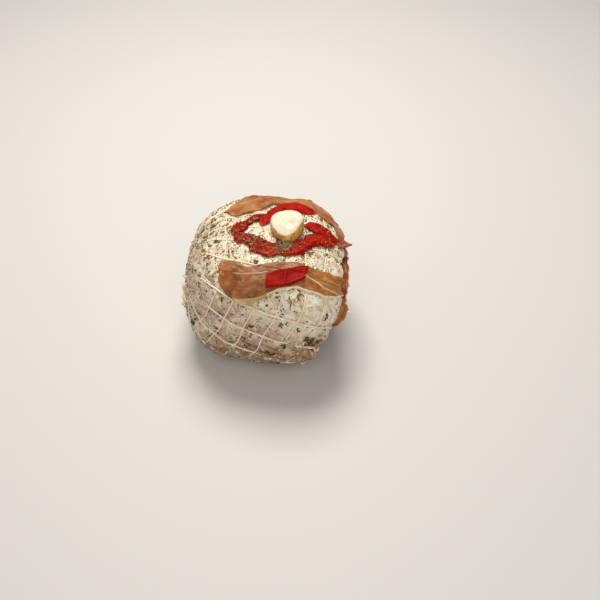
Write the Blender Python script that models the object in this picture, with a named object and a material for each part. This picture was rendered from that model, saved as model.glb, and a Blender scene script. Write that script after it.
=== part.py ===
"""Stuffed veal roast in a string net, with ham, roasted pepper strips and a cheese knob on top.

The roll lies along its own axis, which dips towards its open right end. A place on its surface is
given by station (metres along the axis from the pivot) and turn (degrees around it). Metres, +Z up,
the front towards -Y, the underside flat on Z = 0.
"""
import math

import bpy
import numpy as np

# The roast's outer form: a rounded brick whose plan widens to the right
HALF_LENGTH = 0.0675
HALF_DEPTH = 0.0704
HALF_HEIGHT = 0.0520
BODY_CENTRE = np.array([-0.0031, 0.0032, 0.0500])
BODY_YAW = -0.111
LEFT_ROUNDNESS = 2.97
RIGHT_ROUNDNESS = 2.63
SECTION_ROUNDNESS = 3.12
WIDENING = 0.262
TWO_LOBES = (0.022, -0.033)
THREE_LOBES = (0.048, 0.005)

# The roll's axis, around which the net was drawn on
AXIS_DIP = math.radians(22.6)
AXIS_YAW = math.radians(2.0)
PIVOT = np.array([-0.0117, 0.0090, 0.0500])
RIM_STATION = 0.0535
CAVITY_STATION = -0.0440

# Layers
WRAP_THICKNESS = 0.0060
LINING_THICKNESS = 0.0020
GAP = 0.0003
INNER_STATIONS = (0.0500, 0.0300, 0.0060, -0.0180, -0.0350, CAVITY_STATION)
FILLING_REACH = 0.0120
LINING_REACH = 0.0092
LINING_FRILL = 0.0008
FILLING_SHOULDER = 0.0035
FILLING_DOME = ((0.94, 0.70, 0.0), (0.66, 0.95, 0.3))
RIBBON_REACH = 0.0030
RIBBON_FLARE = 0.0020
RIBBON_TURN = 152.0
RIBBON_SPREAD = 11.0
SHOWING_TURN = 103.0
SHOWING_HALF_SPAN = 57.0
SHOWING_EDGE = 6.0
LEAST_SHOWING = 0.08

# The net
STRING_WIDTH = 0.0012
FRONT_STRING_TURNS = (133.0, 159.0, 175.0, 197.0)
STRINGS_ALONG = 17
RING_STATIONS = (-0.0510, -0.0395, -0.0270, -0.0108, 0.0052, 0.0210, 0.0373)
GROOVE = -0.0004
PILLOW = 0.0009
STRING_BOTTOM = -0.0001
STRING_TOP = 0.0008
RIM_BULGE = 0.0015
RIM_PINCH = 0.0020
RIM_SET_BACK = 0.0010
RIM_NARROWING = 0.0010
CAP_LEANS = (58.0, 27.0)
SHOULDER_STEPS = (0.0082, 0.0030)
KNOT_HEIGHT = 0.0028
NET_CLEARANCE = 0.0015

# What lies on the roast
HAM_LIFT = 0.0018
HAM_THICKNESS = 0.0014
PATCH_THICKNESS = 0.0022
STRIP_HEIGHT = 0.0036
STRIP_LIFT = 0.0016
STRIP_STEPS = 9
STRIP_SIDES = 8
BLUNT_END = 0.25
KNOB_CENTRE = (0.0162, 0.0010)
KNOB_RADIUS = 0.0134
KNOB_HEIGHT = 0.0125
KNOB_SIDES = 18
KNOB_CORNERS = 0.045
KNOB_CORNER_TURN = math.radians(35.0)
KNOB_PROFILE = ((0.80, 0.0), (0.97, 0.22), (1.0, 0.55), (0.93, 0.82), (0.70, 0.96))
TIP_TURN = 98.0
TIP_HALF_SPREAD = 5.5
TIP_NARROWING = 0.85
TIP_STATIONS = (0.0475, 0.0592)
TIP_LIES_TO = 0.0475
TIP_THICKNESS = 0.0024

# Edges of the slices: a turn at each station, read evenly between them
FRONT_SPAN = (-0.041, 0.052)
FRONT_UPPER = ((-0.041, -0.023, -0.010, 0.010, 0.052), (139.0, 136.5, 132.0, 126.5, 127.0))
FRONT_LOWER = ((-0.041, -0.021, -0.009, 0.005, 0.052), (156.0, 160.0, 153.0, 143.5, 140.5))
FRONT_SLANT = 0.006
BACK_SPAN = (-0.039, 0.050)
BACK_OUTER = ((-0.039, -0.010, 0.023, 0.050), (55.0, 42.0, 43.0, 70.0))
BACK_INNER = ((-0.039, -0.022, 0.002, 0.026, 0.050), (73.0, 69.0, 64.0, 69.0, 89.0))
BACK_SLANT = 0.003
PATCH_SPAN = (-0.008, 0.019)
PATCH_UPPER = (PATCH_SPAN, (138.0, 128.0))
PATCH_LOWER = (PATCH_SPAN, (146.0, 137.0))

# The pepper ring's strips: name, width, whether the strip lies over the back ham slice, and plan route
STRIPS = (
    ("top", 0.0088, True,
     ((-0.0030, 0.0082), (0.0000, 0.0175), (0.0050, 0.0265), (0.0130, 0.0320), (0.0240, 0.0340),
      (0.0365, 0.0303))),
    ("left", 0.0068, False,
     ((-0.0064, 0.0185), (-0.0115, 0.0150), (-0.0172, 0.0080), (-0.0225, 0.0025), (-0.0254, -0.0002))),
    ("front_left", 0.0124, False,
     ((-0.0224, -0.0072), (-0.0157, -0.0098), (-0.0083, -0.0148), (0.0005, -0.0188), (0.0102, -0.0210))),
    ("front_right", 0.0098, False,
     ((0.0155, -0.0234), (0.0208, -0.0201), (0.0284, -0.0138), (0.0350, -0.0072), (0.0425, -0.0036),
      (0.0505, -0.0024))),
    ("right", 0.0082, False,
     ((0.0312, 0.0118), (0.0371, 0.0103), (0.0435, 0.0084), (0.0486, 0.0056), (0.0534, 0.0034))),
)

SOLVER_STEPS = 40
RAY_LENGTH = 0.13
PROBE = 1e-5
SHARP_ANGLE = math.radians(50.0)

AXIS = np.array([
    math.cos(AXIS_DIP) * math.cos(AXIS_YAW),
    math.cos(AXIS_DIP) * math.sin(AXIS_YAW),
    -math.sin(AXIS_DIP),
])
ACROSS = np.cross([0.0, 0.0, 1.0], AXIS)
ACROSS /= np.linalg.norm(ACROSS)
RISE = np.cross(AXIS, ACROSS)


def body_level(points):
    """Below 1 inside the roast, 1 on its surface: |x|^n + (|y|^m + |z|^m)^(n/m) in the roast's own sizes."""
    offset = points - BODY_CENTRE
    cosine, sine = math.cos(BODY_YAW), math.sin(BODY_YAW)
    along = offset[..., 0] * cosine + offset[..., 1] * sine
    deep = offset[..., 1] * cosine - offset[..., 0] * sine
    angle = np.arctan2(deep / HALF_DEPTH, along / HALF_LENGTH)
    swell = 1.0 + TWO_LOBES[0] * np.cos(2 * angle) + TWO_LOBES[1] * np.sin(2 * angle)
    swell += THREE_LOBES[0] * np.cos(3 * angle) + THREE_LOBES[1] * np.sin(3 * angle)
    x = along / (HALF_LENGTH * swell)
    y = deep / (HALF_DEPTH * swell * (1.0 + WIDENING * np.clip(x, -1.3, 1.3)))
    z = offset[..., 2] / HALF_HEIGHT
    roundness = np.where(x < 0, LEFT_ROUNDNESS, RIGHT_ROUNDNESS)
    section = np.abs(y) ** SECTION_ROUNDNESS + np.abs(z) ** SECTION_ROUNDNESS
    return np.abs(x) ** roundness + section ** (roundness / SECTION_ROUNDNESS)


def reach(origin, direction):
    """Distance from a point inside the roast to its surface, by halving the interval."""
    low = np.zeros(np.broadcast_shapes(origin.shape, direction.shape)[:-1])
    high = np.full_like(low, RAY_LENGTH)
    for _ in range(SOLVER_STEPS):
        middle = (low + high) / 2
        outside = body_level(origin + middle[..., None] * direction) > 1.0
        high = np.where(outside, middle, high)
        low = np.where(outside, low, middle)
    return low


def outward(points):
    """Unit normal: the gradient of body_level by central differences."""
    slope = np.stack([
        body_level(points + PROBE * step) - body_level(points - PROBE * step) for step in np.eye(3)
    ], axis=-1)
    return slope / np.linalg.norm(slope, axis=-1, keepdims=True)


def on_axis(station):
    return PIVOT + np.asarray(station)[..., None] * AXIS


def around(turn):
    angle = np.radians(turn)
    return np.cos(angle)[..., None] * ACROSS + np.sin(angle)[..., None] * RISE


def leaning(turn, lean):
    """Direction at a turn, leaning back by an angle towards the closed end."""
    angle = np.radians(lean)
    return np.cos(angle)[..., None] * around(turn) - np.sin(angle)[..., None] * AXIS


def surface(station, turn, lift, lean=0.0):
    """Point at a station and turn, raised by lift along the normal, and never below the underside."""
    station, turn, lift, lean = np.broadcast_arrays(station, turn, lift, lean)
    origin = on_axis(station)
    direction = leaning(turn, lean)
    base = origin + reach(origin, direction)[..., None] * direction
    point = base + lift[..., None] * outward(base)
    point[..., 2] = np.maximum(point[..., 2], 0.0)
    return point


def radius_at(station, turn, lean=0.0):
    """Distance of the surface from the axis."""
    station, turn, lean = np.broadcast_arrays(station, turn, lean)
    return reach(on_axis(station), leaning(turn, lean)) * np.cos(np.radians(lean))


def inside(station, turn, inset):
    """Point at a station and turn, inset towards the axis."""
    station, turn, inset = np.broadcast_arrays(station, turn, inset)
    return on_axis(station) + (radius_at(station, turn) - inset)[..., None] * around(turn)


def string_turns():
    """Turns of the strings along the roll: those seen at the front, and the rest evenly spaced."""
    last = FRONT_STRING_TURNS[-1]
    rest = STRINGS_ALONG - len(FRONT_STRING_TURNS)
    pitch = (360.0 + FRONT_STRING_TURNS[0] - last) / (rest + 1)
    return np.array(FRONT_STRING_TURNS + tuple(last + pitch * (i + 1) for i in range(rest)))


def middles(values):
    return (values[1:] + values[:-1]) / 2


def woven(outer, inner):
    """Outer and inner values in turn, starting with an outer one."""
    result = np.empty(len(outer) + len(inner))
    result[0::2] = outer
    result[1::2] = inner
    return result


STRINGS = string_turns()
TURNS = woven(STRINGS, middles(np.append(STRINGS, STRINGS[0] + 360.0)))
RINGS = np.array(RING_STATIONS)


def material(name, color, roughness):
    """Plain Principled finish."""
    finish = bpy.data.materials.new(name)
    finish.use_nodes = True
    shader = finish.node_tree.nodes["Principled BSDF"]
    shader.inputs["Base Color"].default_value = (*color, 1.0)
    shader.inputs["Roughness"].default_value = roughness
    shader.inputs["Metallic"].default_value = 0.0
    return finish


def add_object(name, points, faces, finish):
    mesh = bpy.data.meshes.new(name)
    mesh.from_pydata(np.asarray(points).tolist(), [], faces)
    mesh.validate()
    mesh.materials.append(finish)
    mesh.shade_smooth()
    mesh.set_sharp_from_angle(angle=SHARP_ANGLE)
    item = bpy.data.objects.new(name, mesh)
    bpy.context.collection.objects.link(item)
    return item


def belt_faces(rows, columns, back_from, closed_rows=False):
    """Triangles of a grid whose columns close on themselves.

    From the row back_from the rings run back towards the closed end. The quads there are cut along the
    other diagonal, so that a wall and the layer that lies against it have the same facets.
    """
    faces = []
    for row in range(rows if closed_rows else rows - 1):
        above = row * columns
        below = (row + 1) % rows * columns
        for column in range(columns):
            a, b = above + column, above + (column + 1) % columns
            c, d = below + (column + 1) % columns, below + column
            if row < back_from:
                faces += [(a, b, c), (a, c, d)]
            else:
                faces += [(a, b, d), (b, c, d)]
    return faces


def fan_faces(tip, first, columns, flip):
    """Triangles from a tip to a ring of points."""
    faces = []
    for column in range(columns):
        a, b = first + column, first + (column + 1) % columns
        faces.append((tip, b, a) if flip else (tip, a, b))
    return faces


def add_turned(name, rows, left_tip, right_tip, finish, back_from=None):
    """Closed solid from rings of points, with a tip at each end."""
    rows = np.array(rows)
    count, columns = rows.shape[:2]
    back_from = count if back_from is None else back_from
    points = np.vstack([rows.reshape(-1, 3), left_tip, right_tip])
    faces = belt_faces(count, columns, back_from)
    faces += fan_faces(count * columns, 0, columns, flip=True)
    faces += fan_faces(count * columns + 1, (count - 1) * columns, columns, flip=False)
    return add_object(name, points, faces, finish)


def add_sheet(name, top, bottom, finish):
    """Closed solid between two grids of points, walled along their border."""
    rows, columns = top.shape[:2]
    points = np.vstack([top.reshape(-1, 3), bottom.reshape(-1, 3)])
    half = rows * columns
    faces = []
    for row in range(rows - 1):
        for column in range(columns - 1):
            a = row * columns + column
            b, c, d = a + 1, a + columns + 1, a + columns
            faces += [(a, c, b), (a, d, c), (half + a, half + b, half + c), (half + a, half + c, half + d)]
    border = list(range(columns))
    border += [row * columns + columns - 1 for row in range(1, rows)]
    border += [(rows - 1) * columns + column for column in range(columns - 2, -1, -1)]
    border += [row * columns for row in range(rows - 2, 0, -1)]
    for a, b in zip(border, border[1:] + border[:1]):
        faces += [(a, b, half + b), (a, half + b, half + a)]
    return add_object(name, points, faces, finish)


def skin_rows():
    """Rows of the outer skin from the closed end to the rim: station, lean, and whether a ring lies there."""
    belly = woven(RINGS, middles(RINGS))
    shoulder = RIM_STATION - np.array(SHOULDER_STEPS)
    stations = np.concatenate([np.full(len(CAP_LEANS), RINGS[0]), belly, shoulder])
    leans = np.zeros(len(stations))
    leans[:len(CAP_LEANS)] = CAP_LEANS
    return stations, leans, np.isin(stations, RINGS) & (leans == 0.0)


def skin_lift(on_ring):
    """Height of the skin: a groove along each string, a low pillow in each cell."""
    lift = np.full((len(on_ring), len(TURNS)), PILLOW)
    lift[on_ring] = GROOVE
    lift[:, 0::2] = GROOVE
    lift[:len(CAP_LEANS)] = GROOVE
    return lift


def pinch():
    """1 where a string crosses the rim and 0 halfway between two strings."""
    value = np.zeros(len(TURNS))
    value[0::2] = 1.0
    return value


def rim_station():
    return RIM_STATION + RIM_BULGE - (RIM_BULGE + RIM_PINCH) * pinch()


def add_wrap(finish):
    """Veal wrap: a thick skin, closed at the left and open at the right, with a rounded pinched rim."""
    stations, leans, on_ring = skin_rows()
    rows = list(surface(stations[:, None], TURNS[None, :], skin_lift(on_ring), leans[:, None]))
    rim = rim_station()
    back_from = len(rows) + 1
    rows.append(inside(rim - RIM_SET_BACK, TURNS, RIM_NARROWING * (1.0 + pinch())))
    rows.append(inside(rim, TURNS, (WRAP_THICKNESS + RIM_NARROWING) / 2))
    rows.append(inside(rim - RIM_SET_BACK, TURNS, WRAP_THICKNESS - RIM_NARROWING / 2))
    for station in INNER_STATIONS:
        rows.append(inside(station, TURNS, WRAP_THICKNESS))
    rows = np.array(rows)
    rows[..., 2] = np.maximum(rows[..., 2], 0.0)
    tip = surface(RINGS[0], 0.0, GROOVE, 90.0)
    return add_turned("veal_wrap", rows, tip, on_axis(CAVITY_STATION), finish, back_from)


def ribbon():
    """How far the ham ribbon at the front of the open end stands out, from 0 to 1."""
    away = (TURNS - RIBBON_TURN + 180.0) % 360.0 - 180.0
    return np.exp(-(away / RIBBON_SPREAD) ** 2)


def showing():
    """Share of their reach by which the inner layers stand out past the rim: full above, little below."""
    nearness = np.cos(np.radians(TURNS - SHOWING_TURN)) - math.cos(math.radians(SHOWING_HALF_SPAN))
    return LEAST_SHOWING + (1.0 - LEAST_SHOWING) * (0.5 + 0.5 * np.tanh(SHOWING_EDGE * nearness))


def lining_edge():
    """Station of the lining's frilled edge."""
    frill = LINING_FRILL * np.sin(np.radians(TURNS * 5.0))
    return RIM_STATION + (LINING_REACH + frill) * showing() + RIBBON_REACH * ribbon()


def sleeve(station, inset):
    """Ring of the roll's inner layers: it follows the skin up to the rim and runs straight out past it."""
    station = np.broadcast_to(station, TURNS.shape)
    past = np.maximum(station - RIM_STATION, 0.0)
    return inside(np.minimum(station, RIM_STATION), TURNS, inset) + past[:, None] * AXIS


def add_lining(finish):
    """Ham lining: an open sleeve that runs through the roast and stands out at the open end."""
    outer_inset = WRAP_THICKNESS + GAP
    inner_inset = outer_inset + LINING_THICKNESS
    stations = np.array(INNER_STATIONS)
    stations[-1] += GAP
    edge = lining_edge()
    flare = (RIBBON_FLARE * ribbon())[:, None] * around(TURNS)
    rows = [sleeve(station, outer_inset) for station in stations[::-1]]
    rows.append(sleeve(RIM_STATION, outer_inset))
    rows.append(sleeve(edge, outer_inset) + flare)
    back_from = len(rows)
    rows.append(sleeve(edge, inner_inset) + flare)
    rows.append(sleeve(RIM_STATION, inner_inset))
    rows += [sleeve(station, inner_inset) for station in stations]
    rows = np.array(rows)
    faces = belt_faces(len(rows), len(TURNS), back_from, closed_rows=True)
    return add_object("ham_lining", rows.reshape(-1, 3), faces, finish)


def add_filling(finish):
    """Meat filling: the core inside the lining, domed where it shows at the open end."""
    inset = WRAP_THICKNESS + LINING_THICKNESS + 2 * GAP
    stations = np.array(INNER_STATIONS[::-1])
    stations[0] += GAP
    rows = [sleeve(station, inset) for station in stations]
    rows.append(sleeve(RIM_STATION, inset))
    rows.append(sleeve(RIM_STATION + FILLING_SHOULDER * showing(), inset))
    centre = on_axis(RIM_STATION)
    base = sleeve(RIM_STATION, inset)
    for shrink, rise, evenness in FILLING_DOME:
        height = FILLING_REACH * rise * (evenness + (1.0 - evenness) * showing())
        rows.append(centre + (base - centre) * shrink + height[:, None] * AXIS)
    return add_turned("meat_filling", rows, on_axis(stations[0]), centre + FILLING_REACH * AXIS, finish)


def add_net(finish):
    """String net: the cells of a grid that lie on a string, raised into one solid lattice."""
    half = STRING_WIDTH / 2
    stations, leans, on_ring = skin_rows()
    sides = [np.array([-half, half]) if ring else np.zeros(1) for ring in on_ring]
    row_station = np.concatenate([station + side for station, side in zip(stations, sides)])
    row_lean = np.concatenate([lean + 0.0 * side for lean, side in zip(leans, sides)])
    on_band = np.concatenate([side < 0.0 for side in sides])
    columns = 3 * STRINGS_ALONG
    spread = np.degrees(half / radius_at(row_station[:, None], STRINGS[None, :], row_lean[:, None]))
    turn = np.empty((len(row_station), columns))
    turn[:, 0::3] = STRINGS - spread
    turn[:, 1::3] = STRINGS + spread
    turn[:, 2::3] = TURNS[1::2]
    station, lean = row_station[:, None], row_lean[:, None]
    low = surface(station, turn, STRING_BOTTOM, lean)
    high = surface(station, turn, STRING_TOP, lean)
    floor = surface(station, turn, 0.0, lean)[..., 2]
    rows = len(row_station)
    filled = np.zeros((rows - 1, columns), dtype=bool)
    filled[:, 0::3] = True
    filled[on_band[:-1]] = True
    corner_floor = np.minimum(floor[:-1], floor[1:])
    corner_floor = np.minimum(corner_floor, np.roll(corner_floor, -1, axis=1))
    filled &= corner_floor > NET_CLEARANCE
    add_lattice("netting", high, low, filled, finish)


def add_lattice(name, high, low, filled, finish):
    """Closed solid over the filled cells of a grid that closes around the roll, with a knot at its start."""
    rows, columns = high.shape[:2]
    half = rows * columns
    tips = np.array([
        surface(RINGS[0], 0.0, KNOT_HEIGHT, 90.0),
        surface(RINGS[0], 0.0, STRING_BOTTOM, 90.0),
    ])
    points = np.vstack([high.reshape(-1, 3), low.reshape(-1, 3), tips])
    faces = []

    def walls(a, b):
        return [(b, a, half + a), (b, half + a, half + b)]

    for row in range(rows - 1):
        for column in range(columns):
            if not filled[row, column]:
                continue
            beside = (column + 1) % columns
            a, b = row * columns + column, row * columns + beside
            c, d = b + columns, a + columns
            faces += [(a, b, c), (a, c, d), (half + a, half + c, half + b), (half + a, half + d, half + c)]
            if row > 0 and not filled[row - 1, column]:
                faces += walls(a, b)
            if row + 1 == rows - 1 or not filled[row + 1, column]:
                faces += walls(c, d)
            if not filled[row, (column + 1) % columns]:
                faces += walls(b, c)
            if not filled[row, column - 1]:
                faces += walls(d, a)
    for column in range(columns):
        beside = (column + 1) % columns
        faces.append((2 * half, beside, column))
        faces.append((2 * half + 1, half + column, half + beside))
        if not filled[0, column]:
            faces += walls(beside, column)
    used = sorted({index for face in faces for index in face})
    place = {index: order for order, index in enumerate(used)}
    faces = [tuple(place[index] for index in face) for face in faces]
    add_object(name, points[used], faces, finish)


def add_slice(name, span, upper, lower, counts, lift, thickness, slant, finish):
    """Ham or pepper slice laid on the roast between two edges, its start slanted by moving one edge along."""
    steps, across = counts
    share = np.linspace(0.0, 1.0, across)[:, None]
    along = np.linspace(*span, steps)[None, :]
    turn = np.interp(along, *upper) * (1 - share) + np.interp(along, *lower) * share
    fade = np.linspace(1.0, 0.0, steps)[None, :] ** 2
    station = along + slant * share * fade
    bottom = surface(station, turn, lift)
    top = surface(station, turn, lift + thickness)
    return add_sheet(name, top, bottom, finish)


def smooth_path(points, steps):
    """Even steps along a smooth curve through the points: cubic pieces whose ends aim at the neighbours."""
    points = np.array(points, dtype=float)
    padded = np.vstack([2 * points[0] - points[1], points, 2 * points[-1] - points[-2]])
    place = np.linspace(0.0, len(points) - 1.0001, steps)
    index = place.astype(int)
    t = (place - index)[:, None]
    before, start, end, after = (padded[index + k] for k in range(4))
    return 0.5 * (
        2 * start + (end - before) * t + (2 * before - 5 * start + 4 * end - after) * t ** 2
        + (3 * start - before - 3 * end + after) * t ** 3
    )


def drop(plan):
    """Points of the roast's top under plan positions, by a vertical ray from mid-height."""
    plan = np.asarray(plan)
    origin = np.concatenate([plan, np.full(plan.shape[:-1] + (1,), BODY_CENTRE[2])], axis=-1)
    return origin + reach(origin, np.array([0.0, 0.0, 1.0]))[..., None] * np.array([0.0, 0.0, 1.0])


def add_strip(name, plan, width, lift, finish):
    """Roasted pepper strip: a low flattened bar along a curve on the roast's top, with blunt ends."""
    spine = drop(smooth_path(plan, STRIP_STEPS))
    normal = outward(spine)
    heading = np.gradient(spine, axis=0)
    side = np.cross(normal, heading)
    side /= np.linalg.norm(side, axis=-1, keepdims=True)
    share = np.linspace(0.0, 1.0, STRIP_STEPS)
    blunt = np.clip(1.0 - np.abs(2 * share - 1) ** 6, BLUNT_END, 1.0)[:, None, None]
    angle = np.linspace(0.0, 2 * math.pi, STRIP_SIDES, endpoint=False)
    across = np.cos(angle)[None, :, None] * width / 2 * blunt
    up = (0.5 + 0.5 * np.sin(angle))[None, :, None] * STRIP_HEIGHT * blunt + lift
    rows = spine[:, None, :] + across * side[:, None, :] + up * normal[:, None, :]
    middle = rows.mean(axis=1)
    add_turned(name, rows, middle[0], middle[-1], finish)


def add_knob(finish):
    """Cheese knob: a rounded triangle in plan, domed, on a slightly narrower foot."""
    angle = np.linspace(0.0, 2 * math.pi, KNOB_SIDES, endpoint=False)
    outline = KNOB_RADIUS * (1.0 + KNOB_CORNERS * np.cos(3 * (angle - KNOB_CORNER_TURN)))
    foot = drop(np.array(KNOB_CENTRE))
    rows = []
    for scale, rise in KNOB_PROFILE:
        x = foot[0] + outline * scale * np.cos(angle)
        y = foot[1] + outline * scale * np.sin(angle)
        z = np.full(KNOB_SIDES, foot[2] + STRIP_LIFT + rise * KNOB_HEIGHT)
        rows.append(np.stack([x, y, z], axis=-1))
    low_tip = foot + [0.0, 0.0, STRIP_LIFT]
    high_tip = foot + [0.0, 0.0, STRIP_LIFT + KNOB_HEIGHT]
    add_turned("cheese_knob", rows, low_tip, high_tip, finish)


def add_tip(finish):
    """Ham tip: a small triangle that stands out over the rim."""
    share = np.linspace(0.0, 1.0, 4)
    station = TIP_STATIONS[0] + (TIP_STATIONS[1] - TIP_STATIONS[0]) * share[None, :]
    spread = TIP_HALF_SPREAD * (1.0 - TIP_NARROWING * share[None, :])
    turn = TIP_TURN + spread * np.array([-1.0, 0.0, 1.0])[:, None]
    on_skin = np.minimum(station, TIP_LIES_TO)
    past = ((station - on_skin) * np.ones_like(turn))[..., None] * AXIS
    bottom = surface(on_skin, turn, HAM_LIFT) + past
    top = surface(on_skin, turn, HAM_LIFT + TIP_THICKNESS) + past
    add_sheet("ham_tip", top, bottom, finish)


def clear_scene():
    for item in list(bpy.data.objects):
        bpy.data.objects.remove(item, do_unlink=True)


def build():
    """All the roast's pieces."""
    veal = material("veal", (0.80, 0.72, 0.60), 0.45)
    cured = material("cured_ham", (0.45, 0.16, 0.07), 0.35)
    raw = material("raw_meat", (0.35, 0.08, 0.05), 0.35)
    pepper = material("roasted_pepper", (0.55, 0.02, 0.01), 0.25)
    cheese = material("cheese", (0.92, 0.85, 0.62), 0.50)
    string = material("string", (0.85, 0.75, 0.55), 0.70)
    add_wrap(veal)
    add_lining(cured)
    add_filling(raw)
    add_net(string)
    ham = (HAM_LIFT, HAM_THICKNESS)
    over_ham = sum(ham) + GAP
    add_slice("ham_slice_front", FRONT_SPAN, FRONT_UPPER, FRONT_LOWER, (13, 4), *ham, FRONT_SLANT, cured)
    add_slice("ham_slice_back", BACK_SPAN, BACK_OUTER, BACK_INNER, (13, 7), *ham, BACK_SLANT, cured)
    patch = (over_ham, PATCH_THICKNESS)
    add_slice("pepper_patch", PATCH_SPAN, PATCH_UPPER, PATCH_LOWER, (5, 3), *patch, 0.0, pepper)
    for name, width, rests_on_ham, plan in STRIPS:
        add_strip("pepper_strip_" + name, plan, width, over_ham if rests_on_ham else STRIP_LIFT, pepper)
    add_knob(cheese)
    add_tip(cured)


clear_scene()
build()
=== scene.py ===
# %% [markdown]
# # A stuffed veal roast in its net
# The roast is a roll of pale veal, lined with ham, filled with meat and drawn into a string net. Ham,
# roasted pepper, herbs and a cheese knob lie on top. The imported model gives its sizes. Here every piece
# gets its fine shape and its finish.

# %% Load the frame
import math

import bpy
import numpy as np
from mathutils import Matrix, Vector


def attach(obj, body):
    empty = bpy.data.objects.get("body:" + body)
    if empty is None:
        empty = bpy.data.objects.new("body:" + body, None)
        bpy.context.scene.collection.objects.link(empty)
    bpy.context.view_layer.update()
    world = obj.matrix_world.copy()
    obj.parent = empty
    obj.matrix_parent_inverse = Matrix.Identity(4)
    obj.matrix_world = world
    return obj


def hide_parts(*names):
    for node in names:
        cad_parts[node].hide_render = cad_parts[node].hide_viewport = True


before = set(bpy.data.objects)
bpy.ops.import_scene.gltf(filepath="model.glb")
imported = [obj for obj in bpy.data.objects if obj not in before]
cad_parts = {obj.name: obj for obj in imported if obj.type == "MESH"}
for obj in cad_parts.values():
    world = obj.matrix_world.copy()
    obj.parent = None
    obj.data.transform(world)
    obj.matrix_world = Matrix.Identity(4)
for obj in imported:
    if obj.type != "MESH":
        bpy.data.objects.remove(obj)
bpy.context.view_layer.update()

# %% [markdown]
# ## Camera
# The picture was taken from about 44 degrees above the table, from three quarters of a metre away. A
# camera object takes the same place, and its lens gives the same field of view. Standard colour handling
# keeps reds and creams as they are mixed here.

# %% Camera
CAMERA_PLACE = (0.0259, -0.5374, 0.5420)
CAMERA_ELEVATION = 43.69
CAMERA_LENS_MM = 52.52
CAMERA_SENSOR_MM = 36.0

camera_data = bpy.data.cameras.new("camera")
camera_data.lens = CAMERA_LENS_MM
camera_data.sensor_width = CAMERA_SENSOR_MM
camera = bpy.data.objects.new("camera", camera_data)
camera.location = CAMERA_PLACE
camera.rotation_euler = (math.radians(90.0 - CAMERA_ELEVATION), 0.0, 0.0)
bpy.context.scene.collection.objects.link(camera)
bpy.context.scene.camera = camera
bpy.context.scene.view_settings.view_transform = "Standard"
print("camera at", CAMERA_PLACE)

# %% [markdown]
# ## Floor and light
# Meat looks moist under one broad soft light from above and behind, which also leaves the front in half
# shade. A weak fill from the front opens the shadows, and the pale floor throws light back up.

# %% Floor and light
FLOOR_SIZE = 12.0
FLOOR_COLOR = (0.74, 0.73, 0.71, 1.0)
FLOOR_ROUGHNESS = 0.6
LIGHT_TARGET = (0.0, 0.0, 0.05)
LIGHTS = (  # name, place, size in metres, watts, colour
    ("key", (-0.05, 0.46, 0.98), 0.50, 9.6, (1.0, 0.955, 0.88)),
    ("fill", (0.1, -0.95, 0.9), 1.2, 5.4, (1.0, 0.96, 0.90)),
)
WORLD_COLOR = (1.0, 0.975, 0.93, 1.0)
WORLD_STRENGTH = 0.25


def add_light(name, place, size, watts, color):
    """A square soft light that looks at the roast."""
    light = bpy.data.lights.new(name, "AREA")
    light.size = size
    light.energy = watts
    light.color = color
    lamp = bpy.data.objects.new(name, light)
    lamp.location = place
    lamp.rotation_euler = (Vector(LIGHT_TARGET) - Vector(place)).to_track_quat("-Z", "Y").to_euler()
    bpy.context.scene.collection.objects.link(lamp)


pale_floor = bpy.data.materials.new("pale_floor")
pale_floor.use_nodes = True
floor_shader = pale_floor.node_tree.nodes["Principled BSDF"]
floor_shader.inputs["Base Color"].default_value = FLOOR_COLOR
floor_shader.inputs["Roughness"].default_value = FLOOR_ROUGHNESS
bpy.ops.mesh.primitive_plane_add(size=FLOOR_SIZE)
floor = bpy.context.object
floor.name = "floor"
floor.data.materials.append(pale_floor)
for light in LIGHTS:
    add_light(*light)
world = bpy.data.worlds.new("studio")
world.use_nodes = True
world.node_tree.nodes["Background"].inputs["Color"].default_value = WORLD_COLOR
world.node_tree.nodes["Background"].inputs["Strength"].default_value = WORLD_STRENGTH
bpy.context.scene.world = world
print(len(LIGHTS), "lights and a floor")

# %% [markdown]
# ## The smooth body
# Every piece lies on one smooth form, the same one that the frame was cut from: a rounded brick whose plan
# widens to the right. A formula says for any point whether it is inside, so the surface is found along a
# ray by halving an interval. That works for whole arrays of rays at once, with no loop over points.

# %% Smooth body
HALF_LENGTH = 0.0675
HALF_DEPTH = 0.0704
HALF_HEIGHT = 0.0520
BODY_CENTRE = np.array([-0.0031, 0.0032, 0.0500])
BODY_YAW = -0.111
LEFT_ROUNDNESS = 2.97
RIGHT_ROUNDNESS = 2.63
SECTION_ROUNDNESS = 3.12
WIDENING = 0.262
WIDENING_LIMIT = 1.3
TWO_LOBES = (0.022, -0.033)
THREE_LOBES = (0.048, 0.005)
RAY_LENGTH = 0.13
HALVINGS = 28
PROBE = 1e-5
UP = np.array([0.0, 0.0, 1.0])


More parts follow.
